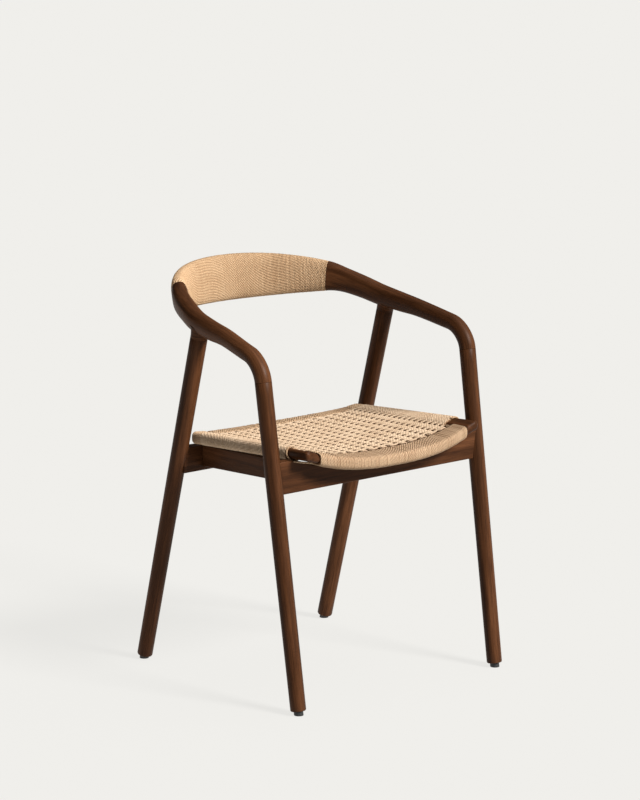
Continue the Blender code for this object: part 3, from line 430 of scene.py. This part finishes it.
def cord(name, lay, ply_shade_strength, drift, tint):
    """Twisted paper cord, with one turn of its plies in each length lay.

    Attribute cord holds (round, along, strand): round is 0.25 on the outside of a
    strand and 0 or 0.5 where it meets the next one."""
    n = Nodes(name)
    split = n.add("ShaderNodeSeparateXYZ")
    n.link(n.attribute("cord").outputs["Vector"], split.inputs["Vector"])
    around, along, strand = (split.outputs[i] for i in range(3))
    phase = n.maths("ADD", n.maths("DIVIDE", along, lay), n.maths("MULTIPLY", around, 2.0))
    phase = n.maths("ADD", phase, n.maths("MULTIPLY", strand, drift))
    swing = n.maths("MULTIPLY", n.maths("SINE", n.maths("MULTIPLY", strand, 0.09)), 2.6)
    phase = n.maths("ADD", phase, swing)
    wave = n.maths("SINE", n.maths("MULTIPLY", phase, 2 * math.pi))
    ply = n.maths("MULTIPLY_ADD", wave, 0.5, 0.5)
    crown = n.maths("SINE", n.maths("MULTIPLY", around, 2 * math.pi))
    random = n.add("ShaderNodeTexWhiteNoise", noise_dimensions="1D")
    n.link(strand, random.inputs["W"])
    place = n.add("ShaderNodeTexCoord").outputs["Object"]
    patch = n.noise(place, 22.0, 2.0)
    fibre = n.noise(place, 1100.0, 2.0)
    tone = n.maths("MULTIPLY_ADD", random.outputs["Value"], 0.20, 0.14)
    tone = n.maths("ADD", tone, n.maths("MULTIPLY", patch, 0.38))
    tone = n.maths("ADD", tone, n.maths("MULTIPLY", fibre, 0.30))
    colour = n.ramp(tone, ((0.15, CORD_DARK), (0.50, CORD_MID), (0.86, CORD_LIGHT)))
    # painted shade: the colour is darkened in the valleys between the twisted plies
    painted_ply_shade = n.ramp(ply, ((0.05, (0.52, 0.42, 0.32)), (0.55, (1.0, 1.0, 1.0))))
    colour = n.mix("MULTIPLY", ply_shade_strength, colour, painted_ply_shade)
    # painted shade: the colour is darkened where two strands meet, and on the side of a tube
    # turned away from its outward direction
    groove = n.ramp(crown, ((0.05, (0.40, 0.29, 0.19)), (0.60, (1.0, 1.0, 1.0))))
    colour = n.mix("MULTIPLY", 0.75, colour, groove)
    colour = n.mix("MULTIPLY", 1.0, colour, tint)
    n.link(colour, n.shader.inputs["Base Color"])
    n.shader.inputs["Roughness"].default_value = 0.85
    n.shader.inputs["Specular IOR Level"].default_value = 0.20
    first = n.bump(ply, 0.6, 0.0011)
    n.bump(fibre, 0.25, 0.0003, first)
    return n.material


def plain(name, colour, roughness, metallic=0.0, grain=400.0):
    """A single colour, slightly mottled."""
    n = Nodes(name)
    place = n.add("ShaderNodeTexCoord").outputs["Object"]
    noise = n.noise(place, grain, 3.0)
    dark = tuple(c * 0.75 for c in colour)
    n.link(n.ramp(noise, ((0.3, dark), (0.7, colour))), n.shader.inputs["Base Color"])
    n.link(n.maths("MULTIPLY_ADD", noise, 0.12, roughness), n.shader.inputs["Roughness"])
    n.shader.inputs["Metallic"].default_value = metallic
    n.bump(noise, 0.3, 0.0002)
    return n.material


# ============================================================ mesh helpers
def publish(name, mesh, material, slot, *nodes):
    """Put a piece on the chair's body. nodes are the CAD nodes that it replaces."""
    item = bpy.data.objects.new(name, mesh)
    bpy.context.scene.collection.objects.link(item)
    mesh.materials.append(material)
    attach(item, "root")
    if nodes:
        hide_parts(*nodes)
    return item


def grid_mesh(name, sheets, attribute, values):
    """One mesh from several (rings, points, 3) arrays, each with a face at both ends.

    values holds an array of the same shape for each one, stored under attribute."""
    faces = []
    base = 0
    for sheet in sheets:
        rows, cols = sheet.shape[:2]
        index = base + np.arange(rows * cols).reshape(rows, cols)
        right = np.roll(index, -1, axis=1)
        quads = np.stack([index[:-1], right[:-1], right[1:], index[1:]], axis=-1)
        faces += quads.reshape(-1, 4).tolist()
        faces.append(index[0][::-1].tolist())
        faces.append(index[-1].tolist())
        base += rows * cols
    points = np.concatenate([sheet.reshape(-1, 3) for sheet in sheets])
    mesh = bpy.data.meshes.new(name)
    mesh.from_pydata(points.tolist(), [], faces)
    layer = mesh.attributes.new(attribute, "FLOAT_VECTOR", "POINT")
    layer.data.foreach_set("vector", np.concatenate([v.ravel() for v in values]))
    build = bmesh.new()
    build.from_mesh(mesh)
    bmesh.ops.recalc_face_normals(build, faces=build.faces)
    build.to_mesh(mesh)
    build.free()
    mesh.shade_smooth()
    mesh.set_sharp_from_angle(angle=SHARP_ANGLE)
    return mesh


def tangents(path):
    """Unit direction of the path at each of its points."""
    t = np.gradient(path, axis=0)
    return t / np.linalg.norm(t, axis=1, keepdims=True)


def tube(path, radius, sides, normal, strand, squash=1.0):
    """Rings round a path and their cord values.

    normal is the outward direction at each point, and squash flattens along it."""
    path = np.asarray(path, float)
    t = tangents(path)
    n = np.asarray(normal, float)
    n = n - (n * t).sum(axis=1, keepdims=True) * t
    n /= np.linalg.norm(n, axis=1, keepdims=True)
    b = np.cross(t, n)
    angle = 2 * np.pi * np.arange(sides) / sides
    ring = (
        path[:, None, :]
        + n[:, None, :] * (np.cos(angle) * radius * squash)[None, :, None]
        + b[:, None, :] * (np.sin(angle) * radius)[None, :, None]
    )
    steps = np.linalg.norm(np.diff(path, axis=0), axis=1)
    value = np.zeros(ring.shape)
    value[:, :, 0] = (angle / (2 * np.pi) + 0.25)[None, :]
    value[:, :, 1] = np.concatenate([[0], np.cumsum(steps)])[:, None]
    value[:, :, 2] = strand
    return ring, value


def wound(count, groove, lift, ring_at):
    """Rings of strands wound side by side, and their cord values.

    ring_at(share, k, part, sunk, raised) gives one ring and the distances round it.
    sunk is the groove's depth there, and raised is how far strand k stands out."""
    rings, value = [], []
    for k in range(count):
        for j in range(STRAND_STEPS + (k == count - 1)):
            part = j / STRAND_STEPS
            bulge = math.sin(math.pi * j / STRAND_STEPS) ** STRAND_CROWN if j else 0.0
            raised = lift[k] if j else 0.0
            ring, at = ring_at((k + part) / count, k, part, groove * (1 - bulge), raised)
            rings.append(ring)
            value.append(np.stack([
                np.full(len(at), 0.5 * j / STRAND_STEPS), at, np.full(len(at), float(k)),
            ], axis=1))
    return np.array(rings), np.array(value)


# ============================================================ legs and arms
def mirror_rows(rows, side):
    """The rings as they are for side 1, or mirrored for side -1."""
    rows = rows.copy()
    rows[:, :, 0] *= side
    return rows


def leg_sheet(foot, up, length, foot_r, top_r):
    """Rings of a tapered round leg with a softened foot, and its grain."""
    steps = 48
    stations = [
        (0.0, foot_r - FOOT_CHAMFER * 0.85), (0.0, foot_r - FOOT_CHAMFER * 0.8),
        (FOOT_CHAMFER * 0.3, foot_r - FOOT_CHAMFER * 0.35),
        (FOOT_CHAMFER, foot_r),
    ]
    stations += [
        (lerp(FOOT_CHAMFER, length, k / 24), lerp(foot_r, top_r, k / 24))
        for k in range(1, 24)
    ]
    stations += [
        (length - 0.0006, top_r), (length - 0.0001, top_r - 0.0003),
        (length, top_r - 0.0009),
    ]
    side = up.cross(Vector((0, 1, 0))).normalized()
    other = up.cross(side).normalized()
    angle = 2 * np.pi * np.arange(steps) / steps
    rings, grain = [], []
    for along, radius in stations:
        centre = np.array(foot + up * along)
        u, v = np.cos(angle) * radius, np.sin(angle) * radius
        rings.append(centre + np.outer(u, side) + np.outer(v, other))
        grain.append(np.stack([u, v, np.full(steps, along)], axis=1))
    return np.array(rings), np.array(grain)


def make_legs():
    for end, foot, up, joint, foot_r, top_r in (
        ("front", front_axis(0.0), FRONT_UP, FRONT_JOINT, FRONT_FOOT_R, FRONT_TOP_R),
        ("rear", REAR_FOOT, REAR_UP, REAR_JOINT, REAR_FOOT_R, REAR_TOP_R),
    ):
        base = foot + up * (GLIDE_HEIGHT / up.z)
        length = (joint - base).length - GAP
        rings, grain = leg_sheet(base, up, length, foot_r, top_r)
        for side, word in ((1, "right"), (-1, "left")):
            seed = {"front": 3.1, "rear": 7.7}[end] + side
            name = f"{end}_leg_{word}_turned"
            mesh = grid_mesh(name, [mirror_rows(rings, side)], "grain", [grain + seed])
            publish(name, mesh, WALNUT, "walnut", f"{end}_leg_{word}")


def section(centre, tangent, heading, outline, lean):
    """The leaned outline, set square to the tangent and level across the heading."""
    side = Vector((heading.y, -heading.x, 0.0))
    side = (side - tangent * side.dot(tangent)).normalized()
    up = side.cross(tangent).normalized()
    shape = leaned(outline, lean)
    return np.array(centre) + np.outer(shape[:, 0], side) + np.outer(shape[:, 1], up)


def arm_sheet():
    """Rings of the arm and its grain."""
    steps = 56
    points = [Vector(row[:3]) for row in ARM_ROWS]
    rings, grain = [], []
    length = 0.0
    for i, row in enumerate(ARM_ROWS):
        if i == 0:
            tangent = FRONT_UP.copy()
        elif i + 1 == len(points):
            tangent = crest_tangent(CREST_SWEEP)
        else:
            tangent = (points[i + 1] - points[i - 1]).normalized()
        ahead = ARM_WAY if i < BEND_STEPS else tangent
        heading = Vector((ahead.x, ahead.y, 0.0)).normalized()
        outline = superellipse(row[3], row[4], row[6], steps)
        rings.append(section(points[i], tangent, heading, outline, row[5]))
        if i:
            length += (points[i] - points[i - 1]).length
        grain.append(np.column_stack([outline, np.full(steps, length)]))
    return np.array(rings), np.array(grain)


def collar_sheet():
    """Rings of the flared collar from the rear leg up into the arm, and its grain."""
    steps = 48
    way = Vector((0.0, 1.0, 0.0))
    way = (way - REAR_UP * way.dot(REAR_UP)).normalized()
    across = way.cross(REAR_UP).normalized()
    angle = 2 * np.pi * np.arange(steps) / steps
    rings, grain = [], []
    for k in range(13):
        turn = k / 12 * math.pi / 2
        flare = COLLAR_FLARE * (1 - math.cos(turn))
        rise = COLLAR_DEPTH * 0.75 * math.sin(turn)
        centre = np.array(REAR_JOINT + REAR_UP * rise + way * flare * 0.2)
        u = (REAR_TOP_R + flare) * np.cos(angle)
        v = REAR_TOP_R * np.sin(angle)
        rings.append(centre + np.outer(u, way) + np.outer(v, across))
        grain.append(np.stack([v, np.full(steps, rise), u + 0.21], axis=1))
    return np.array(rings), np.array(grain)


def make_arms():
    rings, grain = arm_sheet()
    neck, neck_grain = collar_sheet()
    seed = 1.3
    for side, word in ((1, "right"), (-1, "left")):
        name = f"arm_{word}_shaped"
        mesh = grid_mesh(name, [mirror_rows(rings, side)], "grain", [grain + seed + side])
        arm = publish(name, mesh, WALNUT, "walnut", f"arm_{word}")
        collar_mesh = grid_mesh(
            f"{name}_neck", [mirror_rows(neck, side)], "grain", [neck_grain + seed + side],
        )
        collar_mesh.materials.append(WALNUT)
        collar = bpy.data.objects.new(f"{name}_neck", collar_mesh)
        bpy.context.scene.collection.objects.link(collar)
        join = arm.modifiers.new("neck", "BOOLEAN")
        join.operation = "UNION"
        join.solver = "EXACT"
        join.object = collar
        apply_modifiers(arm)
        bpy.data.objects.remove(collar)


def apply_modifiers(item):
    """Replace the item's mesh with the one that its modifiers make."""
    graph = bpy.context.evaluated_depsgraph_get()
    mesh = bpy.data.meshes.new_from_object(item.evaluated_get(graph))
    item.modifiers.clear()
    old = item.data
    item.data = mesh
    mesh.name = old.name
    bpy.data.meshes.remove(old)


# ============================================================ the crest's cord
def make_crest_wrap():
    """Single strands wound side by side round the back rail."""
    sweep = CREST_SWEEP - GAP / CREST_R
    count = int(round(2 * sweep * CREST_R / WRAP_PITCH))
    lift = np.random.default_rng(4).normal(0.0, 0.00008, count)

    def ring_at(share, k, part, sunk, raised):
        a = lerp(sweep, -sweep, share)
        inset = sunk - raised
        half_t, half_h = crest_size(a)
        outline = superellipse(half_t - inset, half_h - inset, CREST_POWER, 72)
        tangent = crest_tangent(a)
        heading = Vector((tangent.x, tangent.y, 0.0)).normalized()
        ring = section(crest_axis(a), tangent, heading, outline, CREST_LEAN)
        length = np.linalg.norm(np.diff(outline, axis=0, append=outline[:1]), axis=1)
        return ring, np.concatenate([[0], np.cumsum(length)[:-1]])

    rings, value = wound(count, WRAP_GROOVE, lift, ring_at)
    mesh = grid_mesh("crest_cord_strands", [rings], "cord", [value])
    publish("crest_cord_strands", mesh, CREST_CORD, "paper_cord", "crest_cord_wrap")


# ============================================================ the seat's cord
def rounded(width, height, radius):
    """Outline of a rectangle with round corners."""
    corner_steps = 5
    outline = []
    for cx, cy, start in ((1, 1, 0), (-1, 1, 90), (-1, -1, 180), (1, -1, 270)):
        for k in range(corner_steps + 1):
            a = math.radians(start + 90 * k / corner_steps)
            outline.append((
                cx * (width / 2 - radius) + radius * math.cos(a),
                cy * (height / 2 - radius) + radius * math.sin(a),
            ))
    return np.array(outline)


def resample(outline, steps):
    """The closed outline's points at even distances, and those distances."""
    loop = np.vstack([outline, outline[:1]])
    length = np.concatenate([[0], np.cumsum(np.linalg.norm(np.diff(loop, axis=0), axis=1))])
    at = np.linspace(0, length[-1], steps, endpoint=False)
    return np.stack([np.interp(at, length, loop[:, i]) for i in (0, 1)], axis=1), at


def cord_round_rail(width, grow, steps):
    """Outline round a rail of this width, standing off it by grow, and its lengths."""
    outline = rounded(width + 2 * grow, RAIL_T + 2 * grow, RAIL_ROUND + grow)
    return resample(outline, steps)


def end_wrap(name, front, node):
    """Strands wound round the front or the rear rail."""
    around = 60
    width = FRONT_RAIL_W if front else REAR_RAIL_W
    y0 = (SEAT_FRONT + width / 2) if front else (RAIL_BACK - width / 2)
    half = half_width(y0 + width / 2) - SIDE_RAIL_W - GAP * 2
    count = int(round(2 * half / RAIL_PITCH))
    rng = np.random.default_rng(8 + front)
    lift = rng.normal(0.0, 0.00018, count)
    lean = rng.normal(0.0016, 0.0005, count + 1)
    turn = np.sin(2 * np.pi * np.arange(around) / around)

    def ring_at(share, k, part, sunk, raised):
        x = lerp(-half, half, share)
        bulb = bow(x, front)
        wide = width + (bulb if front else 0.0)
        outline, at = cord_round_rail(wide, CORD - sunk + raised, around)
        z = rail_z(y0) - dip(x, SEAT_FRONT if front else SEAT_BACK)
        y = y0 - bulb / 2 if front else y0 + bulb
        fade = min(1.0, (half - abs(x)) / 0.01)
        slant = lerp(lean[k], lean[k + 1], part)
        shift = slant * fade * turn
        return np.stack([x + shift, y + outline[:, 0], z + outline[:, 1]], axis=1), at

    rings, value = wound(count, RAIL_GROOVE, lift, ring_at)
    mesh = grid_mesh(name, [rings], "cord", [value])
    publish(name, mesh, SEAT_CORD, "paper_cord", node)


def make_side_wraps():
    """Strands wound round each side rail, at the pitch of the weft."""
    around = 48
    count = int(round((SEAT_BACK - LUG_BACK) / WEFT_PITCH))
    lift = np.random.default_rng(21).normal(0.0, 0.00012, count)

    def ring_at(share, k, part, sunk, raised):
        y = lerp(LUG_BACK, SEAT_BACK, share)
        outline, at = cord_round_rail(SIDE_RAIL_W, CORD - sunk + raised, around)
        x = half_width(y) - SIDE_RAIL_W / 2 + outline[:, 0]
        sag = np.array([dip(v, y) for v in x])
        z = rail_z(y) - sag + outline[:, 1]
        return np.stack([x, np.full(around, y), z], axis=1), at

    rings, value = wound(count, RAIL_GROOVE, lift, ring_at)
    for side, word in ((1, "right"), (-1, "left")):
        name = f"side_cord_strands_{word}"
        mesh = grid_mesh(name, [mirror_rows(rings, side)], "cord", [value])
        publish(name, mesh, SEAT_CORD, "paper_cord", f"seat_side_cord_{word}")


# ============================================================ the weave
def surface(x, y):
    """Height of the middle of the woven layer."""
    return rail_z(y) + RAIL_T / 2 + CORD * 0.5 - dip(x, y) - WEAVE_SINK


FRONT_EDGE = SEAT_FRONT + FRONT_RAIL_W + CORD + WEAVE_MARGIN


def rear_edge(x):
    return RAIL_BACK - REAR_RAIL_W + REAR_TUCK + bow(x, False)


WARPS = [WARP_SPACING * k for k in range(-WARP_EACH_SIDE, WARP_EACH_SIDE + 1)]
WEFT_PAIRS = int(round((rear_edge(0.17) - FRONT_EDGE) / WEFT_PITCH / 2))
WEFT_COUNT = WEFT_PAIRS * 2
WEAVE_HALF = half_width(0.0) - SIDE_RAIL_W


def weft_on_top(w, pair):
    """True where this pair of weft strands passes over warp pair w."""
    return (w + pair) % 2 == 1


def weft_lift(x, pair):
    """Height of a weft strand over the level of the weave."""
    lift = 0.0
    for w, place in enumerate(WARPS):
        near = math.exp(-(abs(x - place) / WEFT_REACH) ** 4)
        lift += near * (WEFT_CROWN if weft_on_top(w, pair) else -WEFT_DIVE)
    return lift


def over_the_side(x_in, y, top, side):
    """Points of a weft strand that goes out over a side rail and down its edge."""
    x_out = half_width(y) + CORD - SIDE_SINK
    bottom = top - RAIL_T - 2 * CORD + SIDE_LIFT
    r = RAIL_ROUND + CORD - SIDE_TIGHTER
    points = []
    for k in range(1, 7):
        points.append((lerp(x_in, x_out - r, k / 6), y, top + WEFT_CROWN))
    for k in range(1, 6):
        turn = math.radians(18 * k)
        points.append((x_out - r + r * math.sin(turn), y, top - r * (1 - math.cos(turn))))
    points.append((x_out, y, (top + bottom) / 2))
    points.append((x_out, y, bottom + r))
    for k in range(1, 4):
        turn = math.radians(30 * k)
        points.append((x_out - r * (1 - math.cos(turn)), y, bottom + r - r * math.sin(turn)))
    points.append((x_out - r - SIDE_TAIL, y, bottom))
    return [(side * px, py, pz - dip(px, py)) for px, py, pz in points]


def short_of_the_corners(middle, inner, y_end):
    """A weft strand in front of the side rails' cord, turned down at both ends."""
    short = inner - 0.004 - 0.010 * (LUG_BACK - y_end) / 0.02
    path = [point for point in middle if abs(point[0]) < short]
    for side, end in ((-1, 0), (1, -1)):
        x, y, z = path[end]
        tail = [(x + side * 0.003, y, z - 0.0016), (x + side * 0.004, y, z - 0.006)]
        path = tail[::-1] + path if side < 0 else path + tail
    return path


def weft_path(k, wobble):
    """Points of weft strand k, counted from the front."""
    share = (k + 0.5) / WEFT_COUNT
    inner = WEAVE_HALF + WEFT_UNDER_SIDE
    middle = []
    for x in np.linspace(-inner, inner, 170):
        y = lerp(FRONT_EDGE, rear_edge(x), share) + wobble
        near = abs(x - WARP_SPACING * round(x / WARP_SPACING))
        pull = (0.5 - (k % 2)) * WEFT_PINCH * math.exp(-(near / PINCH_REACH) ** 2)
        middle.append((x, y + pull, surface(x, y) + weft_lift(x, k // 2)))
    y_end = middle[-1][1]
    if y_end <= LUG_BACK:
        return np.array(short_of_the_corners(middle, inner, y_end))
    top = rail_z(y_end) + RAIL_T / 2 + CORD * 0.5
    right = over_the_side(inner, y_end, top, 1)
    left = over_the_side(inner, y_end, top, -1)
    return np.array(left[::-1] + middle + right)


def warp_path(w, x0):
    """Points of a strand of warp pair w, under one pair of weft and over the next."""
    behind = rear_edge(x0)
    path = []
    ahead, after = FRONT_EDGE - WARP_FRONT_TAIL, behind + WARP_REAR_TAIL
    for y in np.linspace(ahead, after, WEFT_COUNT * 6):
        share = (y - FRONT_EDGE) / (behind - FRONT_EDGE)
        phase = share * WEFT_COUNT / 2 - 0.5
        pair = math.floor(phase)
        t = min(max((phase - pair - 0.25) * 2, 0.0), 1.0)
        t = t * t * (3 - 2 * t)
        here, further = (0.0 if weft_on_top(w, p) else 1.0 for p in (pair, pair + 1))
        lift = lerp(-WARP_DIVE, WARP_CROWN, lerp(here, further, t))
        inside = min(max(min(share, 1 - share) * 16 + 0.5, 0.0), 1.0)
        z = surface(x0, y) + lift * inside + WARP_TAIL_RISE * (1 - inside)
        over = max(FRONT_EDGE - 0.006 - y, y - behind - 0.004, 0.0)
        path.append((x0, y, z - WARP_TAIL_DROP * min(over / WARP_REAR_TAIL, 1.0)))
    return path


def under_path(k):
    """Points of weft strand k of the second layer, which is plain."""
    share = (k + 0.5) / WEFT_COUNT
    inner = WEAVE_HALF + UNDER_REACH
    path = []
    for x in np.linspace(-inner, inner, 30):
        y = lerp(FRONT_EDGE, rear_edge(x), share)
        path.append((x, y, surface(x, y) - UNDER_LAYER))
    return path


def make_weave():
    """Weft strands in pairs over and under warp strands in pairs."""
    tubes = []
    rng = np.random.default_rng(33)
    for k in range(WEFT_COUNT):
        path = weft_path(k, rng.normal(0, 0.00012))
        along = tangents(path)
        normal = np.cross(np.tile((0.0, 1.0, 0.0), (len(path), 1)), along) * -1
        radius = WEFT_PITCH / 2 * WEFT_FATNESS
        tubes.append(tube(path, radius, 8, normal, float(k), squash=0.95))
    for w, place in enumerate(WARPS):
        for strand in (-0.5, 0.5):
            path = warp_path(w, place + strand * WARP_STRAND)
            normal = np.tile((0.0, 0.0, 1.0), (len(path), 1))
            tubes.append(tube(path, WARP_STRAND / 2, 8, normal, 300.0 + w * 2 + strand))
    for k in range(WEFT_COUNT):
        path = under_path(k)
        normal = np.tile((0.0, 0.0, -1.0), (len(path), 1))
        tubes.append(tube(path, WEFT_PITCH / 2 * UNDER_FATNESS, 6, normal, 700.0 + k))
    sheets, values = zip(*tubes)
    mesh = grid_mesh("seat_weave", sheets, "cord", values)
    publish("seat_weave", mesh, WEAVE_CORD, "paper_cord", "seat_panel")


def make_corner_loops():
    """The last strand on each side rail turns forward under the bare corner."""
    for side, word in ((1, "right"), (-1, "left")):
        edge = half_width(LUG_BACK)
        z = rail_z(LUG_BACK) - dip(edge, LUG_BACK)
        half = RAIL_T / 2
        knots = np.array([
            (edge - 0.016, LUG_BACK - 0.0010, z + half + 0.0012),
            (edge - 0.004, LUG_BACK - 0.0016, z + half + 0.0012),
            (edge + 0.0012, LUG_BACK - 0.0030, z + half * 0.55),
            (edge + 0.0016, LUG_BACK - 0.0050, z - half * 0.35),
            (edge - 0.0004, LUG_BACK - 0.0130, z - half - 0.0014),
            (edge - 0.0050, LUG_BACK - 0.0270, z - half - 0.0024),
            (edge - 0.0150, LUG_BACK - 0.0370, z - half - 0.0034),
            (edge - 0.0300, LUG_BACK - 0.0400, z - half - 0.0060),
        ])
        path = []
        guide = np.vstack([knots[0] * 2 - knots[1], knots, knots[-1] * 2 - knots[-2]])
        for i in range(1, len(guide) - 2):
            path += [spline(*guide[i - 1:i + 3], k / 8) for k in range(8)]
        path = np.array(path) * (side, 1, 1)
        outward = np.tile((float(side), -0.2, 0.3), (len(path), 1))
        ring, value = tube(path, LOOP_RADIUS, 8, outward, 500.0 + side)
        name = f"corner_loop_{word}"
        mesh = grid_mesh(name, [ring], "cord", [value])
        publish(name, mesh, SEAT_CORD, "paper_cord")


# ============================================================ build
WALNUT = wood("walnut_along_grain")
CREST_CORD = cord("crest_paper_cord", 0.0052, 0.85, 0.27, (1.04, 0.97, 0.87))
SEAT_CORD = cord("rail_paper_cord", 0.0060, 0.85, 0.37, (1.0, 0.96, 0.92))
WEAVE_CORD = cord("woven_paper_cord", 0.0066, 0.25, 0.41, (0.92, 0.93, 0.95))
BLACK = plain("black_plastic", (0.014, 0.014, 0.014), 0.42)
BEECH = plain("beech", (0.52, 0.34, 0.19), 0.62, grain=180.0)
STEEL = plain("zinc_steel", (0.60, 0.60, 0.58), 0.30, 1.0)

make_legs()
make_arms()
make_crest_wrap()
end_wrap("front_cord_strands", True, "seat_front_cord")
end_wrap("rear_cord_strands", False, "seat_rear_cord")
make_side_wraps()
make_weave()
make_corner_loops()

ALONG_X = (0.0, math.radians(90.0), 0.0)
ALONG_Y = (math.radians(90.0), 0.0, 0.0)
CAD_MATERIALS = {
    "front_apron": wood("walnut_front_apron", ALONG_X, 0.4),
    "rear_apron": wood("walnut_rear_apron", ALONG_X, 1.9),
    "side_board_left": wood("walnut_side_board_left", ALONG_Y, 2.3),
    "side_board_right": wood("walnut_side_board_right", ALONG_Y, 4.1),
    "seat_side_rail_left": wood("walnut_side_rail_left", ALONG_Y, 5.2),
    "seat_side_rail_right": wood("walnut_side_rail_right", ALONG_Y, 6.4),
    "seat_front_rail": wood("walnut_front_rail", ALONG_X, 7.3),
    "seat_rear_rail": wood("walnut_rear_rail", ALONG_X, 8.8),
    "crest_rail": wood("walnut_crest_core", ALONG_X, 9.5),
}


def material_for(name):
    if name in CAD_MATERIALS:
        return CAD_MATERIALS[name]
    if "glide" in name:
        return BLACK
    if "screw" in name:
        return STEEL
    return BEECH


for node_name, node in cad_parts.items():
    if not node.material_slots:
        node.data.materials.append(material_for(node_name))
    for material_slot in node.material_slots:
        material_slot.material = material_for(node_name)


# ============================================================ floor, light, camera
FLOOR_SIZE = 60.0
FLOOR_GAP = 0.0004            # the floor lies this far under the glides
FLOOR_BASE = (0.062, 0.062, 0.061, 1.0)
FLOOR_GLOW = (0.7727, 0.7647, 0.7380, 1.0)
WORLD_STRENGTH = 0.06
KEY_FROM = (0.26, -0.97, 0.76)
KEY_POWER = 6.0
KEY_ANGLE = math.radians(16.0)
OVERHEAD_FROM = (0.35, -0.25, 1.0)
OVERHEAD_POWER = 1.3
OVERHEAD_ANGLE = math.radians(70.0)
CAMERA_AZIMUTH = math.radians(-40.41)
CAMERA_ELEVATION = math.radians(11.66)
CAMERA_DISTANCE = 6.2815
CAMERA_TARGET = Vector((0.0115, -0.01817, 0.5033))
CAMERA_LENS = 190.52          # millimetres, on a sensor 36 mm wide


def make_floor():
    """A pale floor that glows evenly and takes faint shadows."""
    build = bmesh.new()
    bmesh.ops.create_grid(build, x_segments=2, y_segments=2, size=FLOOR_SIZE)
    mesh = bpy.data.meshes.new("studio_floor")
    build.to_mesh(mesh)
    build.free()
    floor = bpy.data.objects.new("studio_floor", mesh)
    bpy.context.scene.collection.objects.link(floor)
    floor.location.z = -FLOOR_GAP
    n = Nodes("studio_floor")
    n.shader.inputs["Base Color"].default_value = FLOOR_BASE
    n.shader.inputs["Roughness"].default_value = 0.95
    n.shader.inputs["Specular IOR Level"].default_value = 0.0
    n.shader.inputs["Emission Color"].default_value = FLOOR_GLOW
    n.shader.inputs["Emission Strength"].default_value = 1.0
    mesh.materials.append(n.material)


def add_sun(name, place, power, colour, angle):
    """A sun that shines from this place towards the origin."""
    data = bpy.data.lights.new(name, "SUN")
    data.energy = power
    data.color = colour
    data.angle = angle
    item = bpy.data.objects.new(name, data)
    item.location = place
    way = -Vector(place)
    item.rotation_euler = way.to_track_quat("-Z", "Y").to_euler()
    bpy.context.scene.collection.objects.link(item)


def make_lights():
    world = bpy.data.worlds.new("studio")
    world.use_nodes = True
    background = world.node_tree.nodes["Background"]
    background.inputs["Color"].default_value = (1.0, 0.99, 0.97, 1.0)
    background.inputs["Strength"].default_value = WORLD_STRENGTH
    bpy.context.scene.world = world
    add_sun("key", KEY_FROM, KEY_POWER, (1.0, 0.975, 0.94), KEY_ANGLE)
    add_sun("overhead", OVERHEAD_FROM, OVERHEAD_POWER, (1.0, 0.985, 0.96), OVERHEAD_ANGLE)
    bpy.context.scene.view_settings.view_transform = "Standard"


def make_camera():
    """Camera on a sphere round the target, at the photograph's angle."""
    way = Vector((
        math.sin(CAMERA_AZIMUTH) * math.cos(CAMERA_ELEVATION),
        -math.cos(CAMERA_AZIMUTH) * math.cos(CAMERA_ELEVATION),
        math.sin(CAMERA_ELEVATION),
    ))
    data = bpy.data.cameras.new("camera")
    data.sensor_fit = "HORIZONTAL"
    data.sensor_width = 36.0
    data.lens = CAMERA_LENS
    data.clip_end = 200.0
    item = bpy.data.objects.new("camera", data)
    item.location = CAMERA_TARGET + way * CAMERA_DISTANCE
    item.rotation_euler = (-way).to_track_quat("-Z", "Y").to_euler()
    bpy.context.scene.collection.objects.link(item)
    bpy.context.scene.camera = item


make_floor()
make_lights()
make_camera()

bpy.context.view_layer.update()
